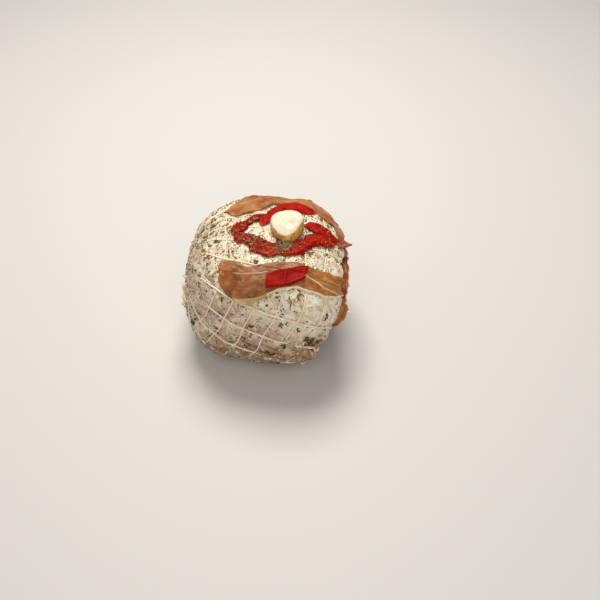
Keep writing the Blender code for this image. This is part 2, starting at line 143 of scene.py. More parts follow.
def body_level(points):
    """Below 1 inside the roast, 1 on its surface: |x|^n + (|y|^m + |z|^m)^(n/m) in the roast's own sizes."""
    offset = points - BODY_CENTRE
    cosine, sine = math.cos(BODY_YAW), math.sin(BODY_YAW)
    along = offset[..., 0] * cosine + offset[..., 1] * sine
    deep = offset[..., 1] * cosine - offset[..., 0] * sine
    angle = np.arctan2(deep / HALF_DEPTH, along / HALF_LENGTH)
    swell = 1.0 + TWO_LOBES[0] * np.cos(2 * angle) + TWO_LOBES[1] * np.sin(2 * angle)
    swell += THREE_LOBES[0] * np.cos(3 * angle) + THREE_LOBES[1] * np.sin(3 * angle)
    x = along / (HALF_LENGTH * swell)
    y = deep / (HALF_DEPTH * swell * (1.0 + WIDENING * np.clip(x, -WIDENING_LIMIT, WIDENING_LIMIT)))
    z = offset[..., 2] / HALF_HEIGHT
    roundness = np.where(x < 0, LEFT_ROUNDNESS, RIGHT_ROUNDNESS)
    section = np.abs(y) ** SECTION_ROUNDNESS + np.abs(z) ** SECTION_ROUNDNESS
    return np.abs(x) ** roundness + section ** (roundness / SECTION_ROUNDNESS)


def reach(origin, direction):
    """Distance from an inner point to the surface, by halving the interval again and again."""
    low = np.zeros(np.broadcast_shapes(origin.shape, direction.shape)[:-1])
    high = np.full_like(low, RAY_LENGTH)
    for _ in range(HALVINGS):
        middle = (low + high) / 2
        outside = body_level(origin + middle[..., None] * direction) > 1.0
        high = np.where(outside, middle, high)
        low = np.where(outside, low, middle)
    return low


def unit(vectors):
    """Vectors divided by their lengths."""
    return vectors / np.linalg.norm(vectors, axis=-1, keepdims=True)


def outward(points):
    """Unit normal: the gradient of body_level, by central differences along the three axes."""
    steps = [body_level(points + PROBE * step) - body_level(points - PROBE * step) for step in np.eye(3)]
    return unit(np.stack(steps, axis=-1))


print("top of the body, mm:", round(1000 * float(BODY_CENTRE[2] + reach(BODY_CENTRE, UP)), 1))

# %% [markdown]
# ## Places on the roll
# The net was drawn on along the roll's own axis, which dips to the right. So a place on the surface has a
# station, in metres along that axis, and a turn in degrees around it. At the closed left end the rays lean
# back until they point along the axis, which closes the end without a seam.

# %% Places on the roll
AXIS_DIP = math.radians(22.6)
AXIS_YAW = math.radians(2.0)
PIVOT = np.array([-0.0117, 0.0090, 0.0500])
RIM_STATION = 0.0535
CAVITY_STATION = -0.0440
CLOSED_END = -0.0510
ROLL_RADIUS = 0.05

AXIS = np.array([
    math.cos(AXIS_DIP) * math.cos(AXIS_YAW),
    math.cos(AXIS_DIP) * math.sin(AXIS_YAW),
    -math.sin(AXIS_DIP),
])
ACROSS = unit(np.cross(UP, AXIS))
RISE = np.cross(AXIS, ACROSS)


def on_axis(station):
    """Point of the roll's axis at a station."""
    return PIVOT + np.asarray(station)[..., None] * AXIS


def around(turn):
    """Unit vector square to the axis: cos(turn) towards the back and sin(turn) upwards."""
    angle = np.radians(turn)
    return np.cos(angle)[..., None] * ACROSS + np.sin(angle)[..., None] * RISE


def on_body(station, turn, lean=0.0):
    """Surface point and normal at a station and turn, along a ray that leans back by lean degrees."""
    station, turn, lean = np.broadcast_arrays(station, turn, lean)
    angle = np.radians(lean)
    direction = np.cos(angle)[..., None] * around(turn) - np.sin(angle)[..., None] * AXIS
    origin = on_axis(station)
    point = origin + reach(origin, direction)[..., None] * direction
    return point, outward(point)


def inside(station, turn, inset):
    """Point at a station and turn, inset from the surface towards the axis."""
    station, turn, inset = np.broadcast_arrays(station, turn, inset)
    origin, direction = on_axis(station), around(turn)
    return origin + (reach(origin, direction) - inset)[..., None] * direction


def place_of(points):
    """Station, turn and distance from the axis of points."""
    offset = points - PIVOT
    back, up = offset @ ACROSS, offset @ RISE
    return offset @ AXIS, np.degrees(np.arctan2(up, back)) % 360.0, np.hypot(back, up)


def turn_gap(turn, other):
    """One turn minus another, from -180 to 180 degrees."""
    return (turn - other + 180.0) % 360.0 - 180.0


print("closed end at", np.round(1000 * on_body(CLOSED_END, 0.0, 90.0)[0]), "mm")

# %% [markdown]
# ## Unevenness
# Nothing on the roast is even. One noise serves for all shapes: a sum of many cosine waves with random
# directions and nearly the same wavelength. It is smooth, it needs no texture, and a fixed seed gives the
# same roast each time. Stretching the points first gives folds that run one way. Two soft steps help it: one
# that rises between two values, and one that falls off like a bell round a line or a spot.

# %% Unevenness
WAVES = 22


def lumps(points, size, seed):
    """Noise of about -2 to 2: the sum of 22 cosines with wavelengths near size, scaled to a spread of 1."""
    random = np.random.default_rng(seed)
    direction = unit(random.normal(size=(WAVES, 3)))
    length = size * random.uniform(0.7, 1.5, WAVES)
    phase = random.uniform(0.0, 2 * math.pi, WAVES)
    waves = np.cos(points @ (direction * (2 * math.pi / length)[:, None]).T + phase)
    return waves.sum(-1) * math.sqrt(2 / WAVES)


def layered(points, layers):
    """Sum of noises, each with its own height, size and seed."""
    return sum(height * lumps(points, size, seed) for height, size, seed in layers)


def ease(value, low, high):
    """0 below low, 1 above high, and 3t^2 - 2t^3 between."""
    t = np.clip((value - low) / (high - low), 0.0, 1.0)
    return t * t * (3.0 - 2.0 * t)


def bell(distance, width):
    """1 at no distance, falling off as exp(-(distance / width)^2)."""
    return np.exp(-(distance / width) ** 2)


def spots(points, rows, start):
    """Start plus round spots, each its strength times exp(-(distance from its centre / its width)^2)."""
    return sum((strength * np.exp(-((points - centre) ** 2).sum(-1) / width ** 2)
                for centre, width, strength in rows), start)


def as_points(*columns):
    """Numbers or arrays of matching shapes, side by side as the coordinates of points."""
    return np.stack(np.broadcast_arrays(*columns), axis=-1)


print("noise spread:", round(float(lumps(np.random.default_rng(0).normal(size=(500, 3)), 0.1, 1).std()), 2))

# %% [markdown]
# ## The net's lines
# Seventeen strings run along the roll and seven rings go round it. Skin, strings and ham all need to know
# where they are, so the distance to the nearest line is a function of its own. The lines wander a little,
# and the same wander moves the grooves and the strings.

# %% Net lines
FRONT_STRING_TURNS = (133.0, 159.0, 175.0, 197.0)
STRINGS_ALONG = 17
RINGS = np.array([-0.0510, -0.0395, -0.0270, -0.0108, 0.0052, 0.0210, 0.0373])
WANDER = 0.0007
WANDER_SIZE = 0.045
STATION_SEED, TURN_SEED = 11, 12
LEAST_RADIUS = 0.01


def string_turns():
    """Turns of the strings: those seen at the front, and the rest evenly spaced."""
    last = FRONT_STRING_TURNS[-1]
    rest = STRINGS_ALONG - len(FRONT_STRING_TURNS)
    pitch = (360.0 + FRONT_STRING_TURNS[0] - last) / (rest + 1)
    return np.array(FRONT_STRING_TURNS + tuple(last + pitch * (i + 1) for i in range(rest)))


def wander(points, seed):
    """How far a line strays at points, in metres."""
    return WANDER * lumps(points, WANDER_SIZE, seed)


STRINGS = string_turns()
print("strings at", np.round(STRINGS % 360.0))

# %% [markdown]
# ## The strings on the closed end
# Past their last ring the strings no longer run with the roll. Each bends smoothly from the roll's axis to
# the knot, a little to the front of the end's middle. There a string is a curve of points on the body, and
# the distance to it is the distance to the nearest of them, worked out in batches to spare memory.

# %% Strings on the closed end
CAP_ORIGIN = np.array([-0.0200, 0.0000, 0.0500])
KNOT_AIM = unit(np.array([-0.0690, -0.0130, 0.0500]) - CAP_ORIGIN)
CAP_STEPS = 110
CAP_PULL = 0.45
BATCH = 2000


def onto_body(points):
    """The body's points on rays from a place inside the closed end through given points."""
    direction = unit(points - CAP_ORIGIN)
    return CAP_ORIGIN + reach(CAP_ORIGIN, direction)[..., None] * direction


KNOT = onto_body(CAP_ORIGIN + KNOT_AIM)


def cap_line(turn):
    """A string from its last ring to the knot: (1 - t)^2 start + 2t(1 - t) pull + t^2 knot, on the body."""
    first, _ = on_body(CLOSED_END, turn)
    turn = turn - np.degrees(wander(first, TURN_SEED) / place_of(first)[2])
    start, _ = on_body(CLOSED_END, turn)
    pull = start - CAP_PULL * np.linalg.norm(KNOT - start) * AXIS
    share = np.linspace(0.0, 1.0, CAP_STEPS)[:, None]
    return onto_body((1 - share) ** 2 * start + 2 * share * (1 - share) * pull + share ** 2 * KNOT)


CAP_LINES = np.stack([cap_line(turn) for turn in STRINGS])


def cap_distance(points):
    """Distance of points to the nearest point of the strings on the closed end, batch by batch."""
    lines = CAP_LINES.reshape(-1, 3)
    batches = np.array_split(points, len(points) // BATCH + 1)
    return np.concatenate([np.sqrt(((batch[:, None] - lines) ** 2).sum(-1).min(-1)) for batch in batches])


def line_distance(points):
    """Distance in metres to the nearest string along the roll, and to the nearest ring."""
    station, turn, radius = place_of(points)
    on_cap = station < CLOSED_END
    station = station + wander(points, STATION_SEED)
    turn = turn + np.degrees(wander(points, TURN_SEED) / np.maximum(radius, LEAST_RADIUS))
    away = np.abs(turn_gap(turn[..., None], STRINGS)).min(-1)
    along = np.array(np.radians(away) * radius)
    if on_cap.any():
        along[on_cap] = cap_distance(points[on_cap])
    return along, np.abs(station[..., None] - RINGS).min(-1)


print("knot at", np.round(1000 * KNOT), "mm")

# %% [markdown]
# ## The height of the skin
# The net presses grooves into the veal and lets each cell swell. Added to that are slow swells, the fuller
# foot at the lower left, and a few folds along the lower front, where the skin is tucked under. All other
# pieces read the same height, so they lie on the skin and not in it.

# %% Skin height
GROOVE_DEPTH = 0.0005
GROOVE_WIDTH = 0.0016
PILLOW_HEIGHT = 0.0011
PILLOW_WIDTH = 0.0055
SWELLS = ((0.0007, 0.048, 21), (0.0003, 0.016, 22))
GRAINS = ((0.00018, 0.0065, 31), (0.00010, 0.0032, 32))
BULGES = (  # centre, width, height
    ((-0.048, -0.046, 0.022), 0.022, 0.0022),
    ((0.018, -0.072, 0.008), 0.036, -0.0048),
    ((-0.052, 0.046, 0.082), 0.034, -0.0018),
    ((-0.070, 0.006, 0.080), 0.024, -0.0022),
)
GATHER_DEPTH = 0.0009
GATHER_REACH = 0.020
GATHER_SIZE = 0.0085
FOLDS = (  # first and last station, turn at the first, degrees for each millimetre, depth
    (-0.012, 0.030, 187.0, 0.10, 0.0015),
    (-0.026, 0.004, 193.0, 0.20, 0.0014),
    (0.008, 0.036, 180.0, 0.10, 0.0013),
    (-0.004, 0.036, 196.0, 0.00, 0.0016),
    (0.037, 0.052, 172.5, 0.55, 0.0024),
    (-0.046, -0.030, 203.0, 0.40, 0.0012),
    (-0.049, -0.034, 152.0, 0.80, 0.0008),
)
SLIT = 4
FOLD_WIDTH = 0.0011
FOLD_FADE = 0.004
FOLD_WAVER = ((1.2, 0.02, 41),)
LIP_HEIGHT = 0.7
LIP_PLACE = 2.2 * FOLD_WIDTH
LIP_WIDTH = 1.6 * FOLD_WIDTH


def fold_line(points, start, end, line, slope):
    """Distance across a line of turn that slopes with station, and 1 between its ends, fading beyond them."""
    station, turn, radius = place_of(points)
    middle = line + slope * (station - start) * 1000.0 + layered(points, FOLD_WAVER)
    shown = ease(station, start - FOLD_FADE, start + FOLD_FADE)
    shown = shown * (1.0 - ease(station, end - FOLD_FADE, end + FOLD_FADE))
    return np.radians(turn - middle) * radius, shown


def folds(points):
    """Grooves with a raised lip on one side, each along its own line."""
    total = np.zeros(points.shape[:-1])
    for *line, depth in FOLDS:
        across, shown = fold_line(points, *line)
        total += depth * shown * (LIP_HEIGHT * bell(across - LIP_PLACE, LIP_WIDTH) - bell(across, FOLD_WIDTH))
    return total


def gathers(points):
    """Creases that run towards the knot: noise on the angle round it, fading with the distance from it."""
    offset = points - KNOT
    side = unit(np.cross(UP, KNOT_AIM))
    angle = np.arctan2(offset @ np.cross(KNOT_AIM, side), offset @ side)
    distance = np.linalg.norm(offset, axis=-1)
    spread = as_points(0.02 * np.cos(angle), 0.02 * np.sin(angle), 0.15 * distance)
    fading = bell(distance, GATHER_REACH) * ease(distance, 0.001, 0.006)
    return GATHER_DEPTH * lumps(spread, GATHER_SIZE, 25) * fading


def swells(points):
    """Slow swells, the gathers round the knot, and the bulges and hollows that the photo's outline shows."""
    return spots(points, BULGES, layered(points, SWELLS) + gathers(points))


def pillow(along, ring):
    """0 at a cell's strings and nearly 1 in its middle, from the distances to both."""
    return (1.0 - bell(along, PILLOW_WIDTH)) * (1.0 - bell(ring, PILLOW_WIDTH))


def skin_height(points):
    """Height over the smooth body: swells + pillow of each cell - groove at each line + folds."""
    along, ring = line_distance(points)
    groove = bell(np.minimum(along, ring), GROOVE_WIDTH)
    return swells(points) + PILLOW_HEIGHT * pillow(along, ring) - GROOVE_DEPTH * groove + folds(points)


print("folds:", len(FOLDS))

# %% [markdown]
# ## Where the strings sink in
# The strings don't lie equally high everywhere. Fat has swollen over them on the top and at the upper left,
# they are drawn in near the knot, and low down they come and go between the folds. One depth says how far a
# string lies below its usual height, and whatever lies on the strings reads it too.

# %% Sinking strings
TOP_SINK, TOP_LEVELS = 0.00045, (0.082, 0.100)
LEFT_SINK, LEFT_FADE, LEFT_LEVELS = 0.0012, (-0.051, -0.040), (0.056, 0.068)
KNOT_SINK, KNOT_FADE = 0.0006, (0.012, 0.026)
LOW_SINK, LOW_LEVELS = 0.0011, (0.028, 0.038)
RIGHT_RISE, RIGHT_FADE = 0.020, (0.000, 0.014)
LOW_SHARE = 0.35


def sinking(points):
    """Depth by which the strings have sunk in: the greatest of four, each with its own soft limits."""
    x, z = points[..., 0], points[..., 2]
    top = TOP_SINK * ease(z, *TOP_LEVELS)
    left = LEFT_SINK * (1.0 - ease(x, *LEFT_FADE)) * ease(z, *LEFT_LEVELS)
    knotted = KNOT_SINK * (1.0 - ease(np.linalg.norm(points - KNOT, axis=-1), *KNOT_FADE))
    low = 1.0 - ease(z - RIGHT_RISE * ease(x, *RIGHT_FADE), *LOW_LEVELS)
    patches = ease(lumps(points, 0.013, 27), -1.2, -0.1)
    low = LOW_SINK * low * (LOW_SHARE + (1.0 - LOW_SHARE) * patches)
    return np.maximum(np.maximum(top, left), np.maximum(knotted, low))


print("strings sink in by up to", round(1000 * LEFT_SINK, 1), "mm")

# %% [markdown]
# ## From arrays to pieces
# A shape is a grid of points, and its faces follow from its row and column counts. A small collector joins
# several grids into one mesh, keeps a painted value for each point, and hands the arrays to Blender in one
# go. Each finished piece rides on the roast's body and hides the parts of the frame that it stands for.

# %% Grids and pieces
def grid(rows, columns, ring=True):
    """Quads of a grid, facing outwards where rows run along the axis and columns with the turn."""
    row = np.arange(rows - 1)[:, None]
    column = np.arange(columns if ring else columns - 1)[None, :]
    beside = (column + 1) % columns
    return np.stack([row * columns + column, row * columns + beside,
                     (row + 1) * columns + beside, (row + 1) * columns + column], axis=-1).reshape(-1, 4)


def fan(tip, first, columns, at_start):
    """Triangles from a tip to a ring of points, at the start or the end of a turned shape."""
    column = np.arange(columns)
    a, b = first + column, first + (column + 1) % columns
    return np.stack([np.full(columns, tip), *((b, a) if at_start else (a, b))], axis=-1)


class Shell:
    """Points, faces and painted values of one piece, collected part by part."""

    def __init__(self):
        self.points, self.quads, self.triangles, self.paint, self.count = [], [], [], {}, 0

    def add(self, points, quads, triangles=None, **paint):
        """Points with faces that count from 0 among them, and painted values for each point."""
        self.points.append(points)
        self.quads.append(quads + self.count)
        if triangles is not None:
            self.triangles.append(triangles + self.count)
        for name, values in paint.items():
            self.paint.setdefault(name, []).append(np.broadcast_to(values, len(points)))
        self.count += len(points)

    def add_turned(self, rows, first_tip, last_tip, **paint):
        """A closed shape of rings with a tip at each end; paint is one value for each ring point."""
        count, columns = rows.shape[:2]
        points = np.vstack([rows.reshape(-1, 3), first_tip, last_tip])
        size = count * columns
        tips = np.concatenate([fan(size, 0, columns, True), fan(size + 1, size - columns, columns, False)])
        painted = {}
        for name, values in paint.items():
            values = np.broadcast_to(values, rows.shape[:2])
            painted[name] = np.concatenate([values.ravel(), [values[0].mean(), values[-1].mean()]])
        self.add(points, grid(count, columns), tips, **painted)

    def add_sheet(self, top, bottom, **paint):
        """A closed sheet between two grids of points, walled along their border."""
        rows, columns = top.shape[:2]
        half = rows * columns
        over = grid(rows, columns, ring=False)[:, ::-1]
        border = np.concatenate([
            np.arange(columns), np.arange(1, rows) * columns + columns - 1,
            np.arange((rows - 1) * columns + columns - 2, (rows - 1) * columns - 1, -1),
            np.arange(rows - 2, 0, -1) * columns,
        ])
        after = np.roll(border, -1)
        walls = np.stack([border, after, after + half, border + half], axis=-1)
        quads = np.concatenate([over, over[:, ::-1] + half, walls])
        painted = {name: np.tile(np.broadcast_to(values, top.shape[:2]).ravel(), 2)
                   for name, values in paint.items()}
        self.add(np.vstack([top.reshape(-1, 3), bottom.reshape(-1, 3)]), quads, **painted)


def make_piece(name, shell, finish, slot, *nodes):
    """A mesh object from a shell, riding on the roast and standing for the named nodes."""
    quads = np.vstack(shell.quads)
    triangles = np.vstack(shell.triangles) if shell.triangles else np.zeros((0, 3), int)
    corners = np.concatenate([quads.ravel(), triangles.ravel()])
    starts = np.concatenate([4 * np.arange(len(quads)), 4 * len(quads) + 3 * np.arange(len(triangles))])
    points = np.vstack(shell.points)
    mesh = bpy.data.meshes.new(name)
    mesh.vertices.add(len(points))
    mesh.vertices.foreach_set("co", points.astype(np.float32).ravel())
    mesh.loops.add(len(corners))
    mesh.loops.foreach_set("vertex_index", corners.astype(np.int32))
    mesh.polygons.add(len(starts))
    mesh.polygons.foreach_set("loop_start", starts.astype(np.int32))
    mesh.update(calc_edges=True)
    mesh.shade_smooth()
    for paint, values in shell.paint.items():
        layer = mesh.attributes.new(paint, "FLOAT", "POINT")
        layer.data.foreach_set("value", np.concatenate(values).astype(np.float32))
    mesh.materials.append(finish)
    piece = bpy.data.objects.new(name, mesh)
    bpy.context.scene.collection.objects.link(piece)
    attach(piece, "root")
    if nodes:
        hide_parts(*nodes)
    print(f"{name}: {2 * len(quads) + len(triangles)} triangles")
    return piece


def make_sheet(name, top, bottom, paint, *rest):
    """A piece that is one closed sheet."""
    shell = Shell()
    shell.add_sheet(top, bottom, **paint)
    return make_piece(name, shell, *rest)


print("a tube of 3 rings of 4 points has", len(grid(3, 4)), "side faces")


# %% [markdown]
# ## Shader sums
# A finish is easier to read as arithmetic than as a net of nodes. One small class wraps a node's output, so
# that plus, minus and times between outputs add the Math nodes. Everything else comes from one method that
# takes a node's type, its settings and the values of its sockets.

# %% Shader sums
NOISE_ROUGHNESS = 0.55


class Wire:
    """A node's output. Arithmetic with a number or another wire adds a Math node and gives its output."""

    def __init__(self, finish, socket):
        self.finish, self.socket = finish, socket

    def join(self, operation, first, second):
        return self.finish.node("ShaderNodeMath", {"operation": operation}, {0: first, 1: second})

    def __add__(self, other):
        return self.join("ADD", self, other)

    def __sub__(self, other):
        return self.join("SUBTRACT", self, other)

    def __rsub__(self, other):
        return self.join("SUBTRACT", other, self)

    def __mul__(self, other):
        return self.join("MULTIPLY", self, other)

    __radd__ = __add__
    __rmul__ = __mul__


class Finish:
    """A Principled material whose sockets are fed by name."""

    def __init__(self, name):
        self.material = bpy.data.materials.new(name)
        self.material.use_nodes = True
        self.tree = self.material.node_tree
        self.shader = self.tree.nodes["Principled BSDF"]
        self.place = self.node("ShaderNodeTexCoord", out="Object")

    def node(self, kind, settings=None, sockets=None, out=0):
        """A node of a kind, its settings first, then its sockets' values or links; gives one output."""
        made = self.tree.nodes.new(kind)
        for key, value in (settings or {}).items():
            setattr(made, key, value)
        for key, value in (sockets or {}).items():
            self.feed(made.inputs[key], value)
        return Wire(self, made.outputs[out])

    def feed(self, socket, value):
        """A link from a wire, or a plain value."""
        if isinstance(value, Wire):
            self.tree.links.new(value.socket, socket)
        else:
            socket.default_value = value

    def set(self, **values):
        """Sockets of the shader, named with _ for a space: base_color, roughness, normal and so on."""
        for key, value in values.items():
            self.feed(self.shader.inputs[key.replace("_", " ").title()], value)

    def stretched(self, x, y, z):
        """Object coordinates stretched along the three axes."""
        return self.node("ShaderNodeVectorMath", {"operation": "MULTIPLY"}, {0: self.place, 1: (x, y, z)})

    def noise(self, size, detail, vector=None, distortion=0.0):
        """Noise of 0 to 1 whose lumps are about size metres wide."""
        return self.node("ShaderNodeTexNoise", None, {
            "Vector": vector or self.place, "Scale": 1.0 / size, "Detail": detail,
            "Roughness": NOISE_ROUGHNESS, "Distortion": distortion,
        })

    def specks(self, size, low, high, vector=None):
        """1 at the middles of chance cells about size metres wide, 0 away from them."""
        sockets = {"Vector": vector or self.place, "Scale": 1.0 / size}
        return 1.0 - self.ease(self.node("ShaderNodeTexVoronoi", None, sockets, "Distance"), low, high)

    def ease(self, value, low, high):
        """0 below low and 1 above high, smooth between."""
        return self.node("ShaderNodeMapRange", {"interpolation_type": "SMOOTHSTEP"},
                         {"Value": value, "From Min": low, "From Max": high})

    def mix(self, factor, first, second):
        """Colour between two colours."""
        return self.node("ShaderNodeMix", {"data_type": "RGBA"}, {0: factor, 6: first, 7: second}, out=2)

    def between(self, value, low, high, first, second):
        """One screen colour where a value is below low, another where it is above high."""
        return self.mix(self.ease(value, low, high), tone(*first), tone(*second))

    def over(self, color, value, low, high, screen_color, strength=None):
        """A colour with a screen colour laid over it, at a strength, where a value rises from low to high."""
        factor = self.ease(value, low, high)
        return self.mix(factor * strength if strength else factor, color, tone(*screen_color))

    def along_and_across(self, stretch):
        """The painted length, shortened by a factor, and the painted width, as a vector for long streaks."""
        sockets = {0: self.painted("length") * stretch, 1: self.painted("width")}
        return self.node("ShaderNodeCombineXYZ", None, sockets)

    def painted(self, name):
        """A value that the mesh holds for each of its points."""
        return self.node("ShaderNodeAttribute", {"attribute_name": name}, out="Fac")

    def bump(self, height, depth):
        """Normal of a surface raised by height times depth metres."""
        sockets = {"Height": height, "Strength": 1.0, "Distance": depth}
        return self.node("ShaderNodeBump", None, sockets, "Normal")


def tone(red, green, blue):
    """A screen colour of 0 to 255 as the linear colour that a shader takes: ((c + 0.055) / 1.055) ^ 2.4."""
    share = [value / 255.0 for value in (red, green, blue)]
    return (*[c / 12.92 if c <= 0.04045 else ((c + 0.055) / 1.055) ** 2.4 for c in share], 1.0)


print("shader tools ready")

# %% [markdown]
# ## Veal finish
# Raw veal skin is cream fat with patches of pinker, greyer meat under it. Its top and right are also painted
# paler, as painted light. It is a little see-through, so light spreads under its surface, and it is moist in
# spots. Ochre stains gather in the folds, and the folds and the grooves by the strings are painted darker as
# painted shade; low at the front the skin is painted darker as shade too. Ground pepper leaves fine dark
# specks. The painted values say where fat and painted light, folds and shade, and stains are.

# %% Veal finish
def veal_finish():
    veal = Finish("veal")
    fat, fold = veal.painted("fat"), veal.painted("fold")
    patches = veal.noise(0.016, 4.0, distortion=0.6)
    fibres = veal.noise(0.0022, 3.0)
    meat = veal.between(patches, 0.35, 0.62, (234, 214, 188), (192, 154, 130))
    meat = veal.over(meat, veal.noise(0.0034, 4.0, distortion=0.5), 0.50, 0.66, (250, 236, 216), 0.75)
    pale = veal.between(veal.noise(0.005, 4.0), 0.38, 0.62, (255, 249, 230), (234, 208, 176))
    # The fat share also paints the top and the right paler, as painted light.
    skin = veal.mix(veal.ease(fat + (patches - 0.5) * 0.9, 0.25, 0.75), meat, pale)
    skin = veal.over(skin, veal.noise(0.0045, 4.0) + fold * 0.30, 0.56, 0.76, (178, 142, 88), 0.6)
    blotches = veal.ease(veal.noise(0.006, 4.0), 0.30, 0.54)
    # Stains, and painted shade low at the front.
    skin = veal.mix(veal.painted("stained") * blotches * 0.85, skin, tone(146, 106, 62))
    # Painted shade in the folds and in the grooves along the strings.
    skin = veal.over(skin, fold, 0.35, 1.0, (134, 92, 58), 0.6)
    skin = veal.over(skin, veal.painted("slit"), 0.25, 0.70, (124, 34, 20))
    sprinkled = veal.specks(0.0017, 0.12, 0.20) * veal.ease(veal.noise(0.010, 2.0), 0.36, 0.54)
    skin = veal.mix(sprinkled * 0.8, skin, tone(104, 86, 44))
    veal.set(base_color=skin, roughness=0.24 + 0.36 * veal.noise(0.003, 3.0))
    veal.set(subsurface_weight=0.22, subsurface_radius=(1.0, 0.55, 0.35), subsurface_scale=0.0035)
    veal.set(normal=veal.bump(fibres * 0.7 + veal.noise(0.0009, 2.0) * 0.3, 0.0009))
    return veal.material


VEAL = veal_finish()
print("finish:", VEAL.name)

# %% [markdown]
# ## The veal wrap
# The skin is one grid. Its first rows fan out from the closed end, its middle rows run along the roll, and
# its last rows turn round the thick rim and go back inside, where a tip closes them. Between the strings
# the rim bulges, and at each string it is pinched.

# %% Veal wrap
COLUMNS = 520
CAP_ROWS = 58
BELLY_ROWS = 84
RIM_ROWS = 12
WRAP_THICKNESS = 0.0060
RIM_BULGE = 0.0021
RIM_PUFF = 0.0040
RIM_PUFF_TURN = 157.5
RIM_PUFF_SPREAD = 9.0
RIM_PINCH = 0.0022
RIM_LUMPS = ((0.0006, 0.02, 51),)
PINCH_WIDTH = 0.0042
INNER_STATIONS = (0.0440, 0.0060, -0.0300, CAVITY_STATION)
STAINS = (  # centre, width, strength
    ((0.036, -0.068, 0.040), 0.014, 1.0),
    ((0.012, -0.069, 0.034), 0.016, 0.7),
    ((-0.016, -0.064, 0.034), 0.012, 0.6),
    ((0.020, -0.066, 0.012), 0.024, 1.0),
    ((-0.030, -0.058, 0.012), 0.024, 0.9),
    ((-0.004, -0.066, 0.024), 0.018, 0.6),
    ((-0.060, -0.034, 0.038), 0.006, 1.0),
    ((-0.056, -0.012, 0.088), 0.012, 0.5),
    ((-0.056, 0.010, 0.094), 0.012, 0.5),
)
# Painted shade: how much darker the skin gets low at the front.
LOW_SHADE = 0.9
# Painted shade along the grooves that the strings press in: its strength and width.
STRING_GROOVE_SHADE, STRING_GROOVE_SHADE_WIDTH = 0.16, 0.0012
DEEP_FOLD = 0.0009


def rim_edge(turn):
    """Station of the rim: it bulges between the strings, most at the front, and each string pinches it."""
    near = np.abs(turn_gap(turn[..., None], STRINGS)).min(-1)
    pinch = bell(np.radians(near) * ROLL_RADIUS, PINCH_WIDTH)
    uneven = layered(around(turn) * ROLL_RADIUS, RIM_LUMPS)
    puff = RIM_PUFF * bell(turn - RIM_PUFF_TURN, RIM_PUFF_SPREAD)
    return RIM_STATION + RIM_BULGE + puff - (RIM_BULGE + RIM_PINCH) * pinch + uneven


def rim_round(turn, angle):
    """Station and inset of a point on the rim's half circle, from the outer wall at 0 to the inner at 180."""
    half = WRAP_THICKNESS / 2
    return rim_edge(turn) - half + half * np.sin(angle), half - half * np.cos(angle)


def skin_point(station, turn, lean, height_of):
    """Body point raised along its normal by a height, and never below the underside."""
    point, normal = on_body(station, turn, lean)
    point = point + height_of(point)[..., None] * normal
    point[..., 2] = np.maximum(point[..., 2], 0.0)
    return point


def fine_height(points):
    """The skin's height with its fine grain."""
    return skin_height(points) + layered(points, GRAINS)


def wrap_paint(place):
    """The skin's painted values: fat and painted light to the right and above, painted shade in the folds
    and string grooves, the slit, and stains with painted shade low at the front.
    """
    x, y, z = place.T
    # Fat, and painted light: the skin is painted paler to the right and on the top.
    fat = ease(x, -0.035, 0.035) * 0.5 + ease(z, 0.054, 0.090) * 0.55
    # Painted shade along the string grooves, and in the folds by their depth.
    marks = STRING_GROOVE_SHADE * bell(np.minimum(*line_distance(place)), STRING_GROOVE_SHADE_WIDTH)
    fold = np.maximum(np.clip(-folds(place) / DEEP_FOLD, 0.0, 1.0), marks)
    across, shown = fold_line(place, *FOLDS[SLIT][:4])
    # Painted shade: darker towards the bottom at the front.
    low = LOW_SHADE * (1.0 - ease(z, 0.012, 0.042)) * ease(-y, 0.02, 0.05)
    stained = np.clip(spots(place, STAINS, low), 0.0, 1.0)
    return {"fat": fat, "fold": fold, "stained": stained, "slit": shown * bell(across, FOLD_WIDTH)}


def make_wrap():
    """Rows of the raised body surface by station, a half circle round the rim, and the inner wall."""
    turn = np.linspace(0.0, 360.0, COLUMNS, endpoint=False)[None, :]
    lean = np.linspace(90.0, 0.0, CAP_ROWS + 1)[1:, None]
    share = np.linspace(0.0, 1.0, BELLY_ROWS + 1)[1:, None]
    last = rim_edge(turn) - WRAP_THICKNESS / 2
    station = np.vstack([np.full((CAP_ROWS, COLUMNS), CLOSED_END), CLOSED_END + share * (last - CLOSED_END)])
    lean = np.vstack([lean, np.zeros((BELLY_ROWS, 1))])
    outer = skin_point(station, turn, lean, fine_height)
    angle = np.linspace(0.0, math.pi, RIM_ROWS + 1)[1:, None]
    rim_station, inset = rim_round(turn, angle)
    base, normal = on_body(last, turn)
    rise = fine_height(base)[..., None] * normal * np.maximum(np.cos(angle), 0.0)[..., None]
    rim = inside(rim_station, turn, inset) + rise
    inner = inside(np.array(INNER_STATIONS)[:, None], turn, WRAP_THICKNESS)
    rows = np.vstack([outer, rim, inner])
    rows[..., 2] = np.maximum(rows[..., 2], 0.0)
    tip = skin_point(np.array(CLOSED_END), np.array(0.0), 90.0, fine_height)
    paint = wrap_paint(rows.reshape(-1, 3))
    shell = Shell()
    shell.add_turned(rows, tip, on_axis(CAVITY_STATION),
                     **{name: values.reshape(rows.shape[:2]) for name, values in paint.items()})
    return make_piece("veal_skin", shell, VEAL, "veal", "veal_wrap"), outer


veal_skin, SKIN_GRID = make_wrap()

# %% [markdown]
# ## The string net
# The net is cotton string of two plies. Each string is a tube along a line on the body, and its section is
# slightly oval and turns with the length, which gives the twist. Strings along the roll are thicker than
# the rings. Where a string would lie under the roast it is left out, since it is pressed flat there.

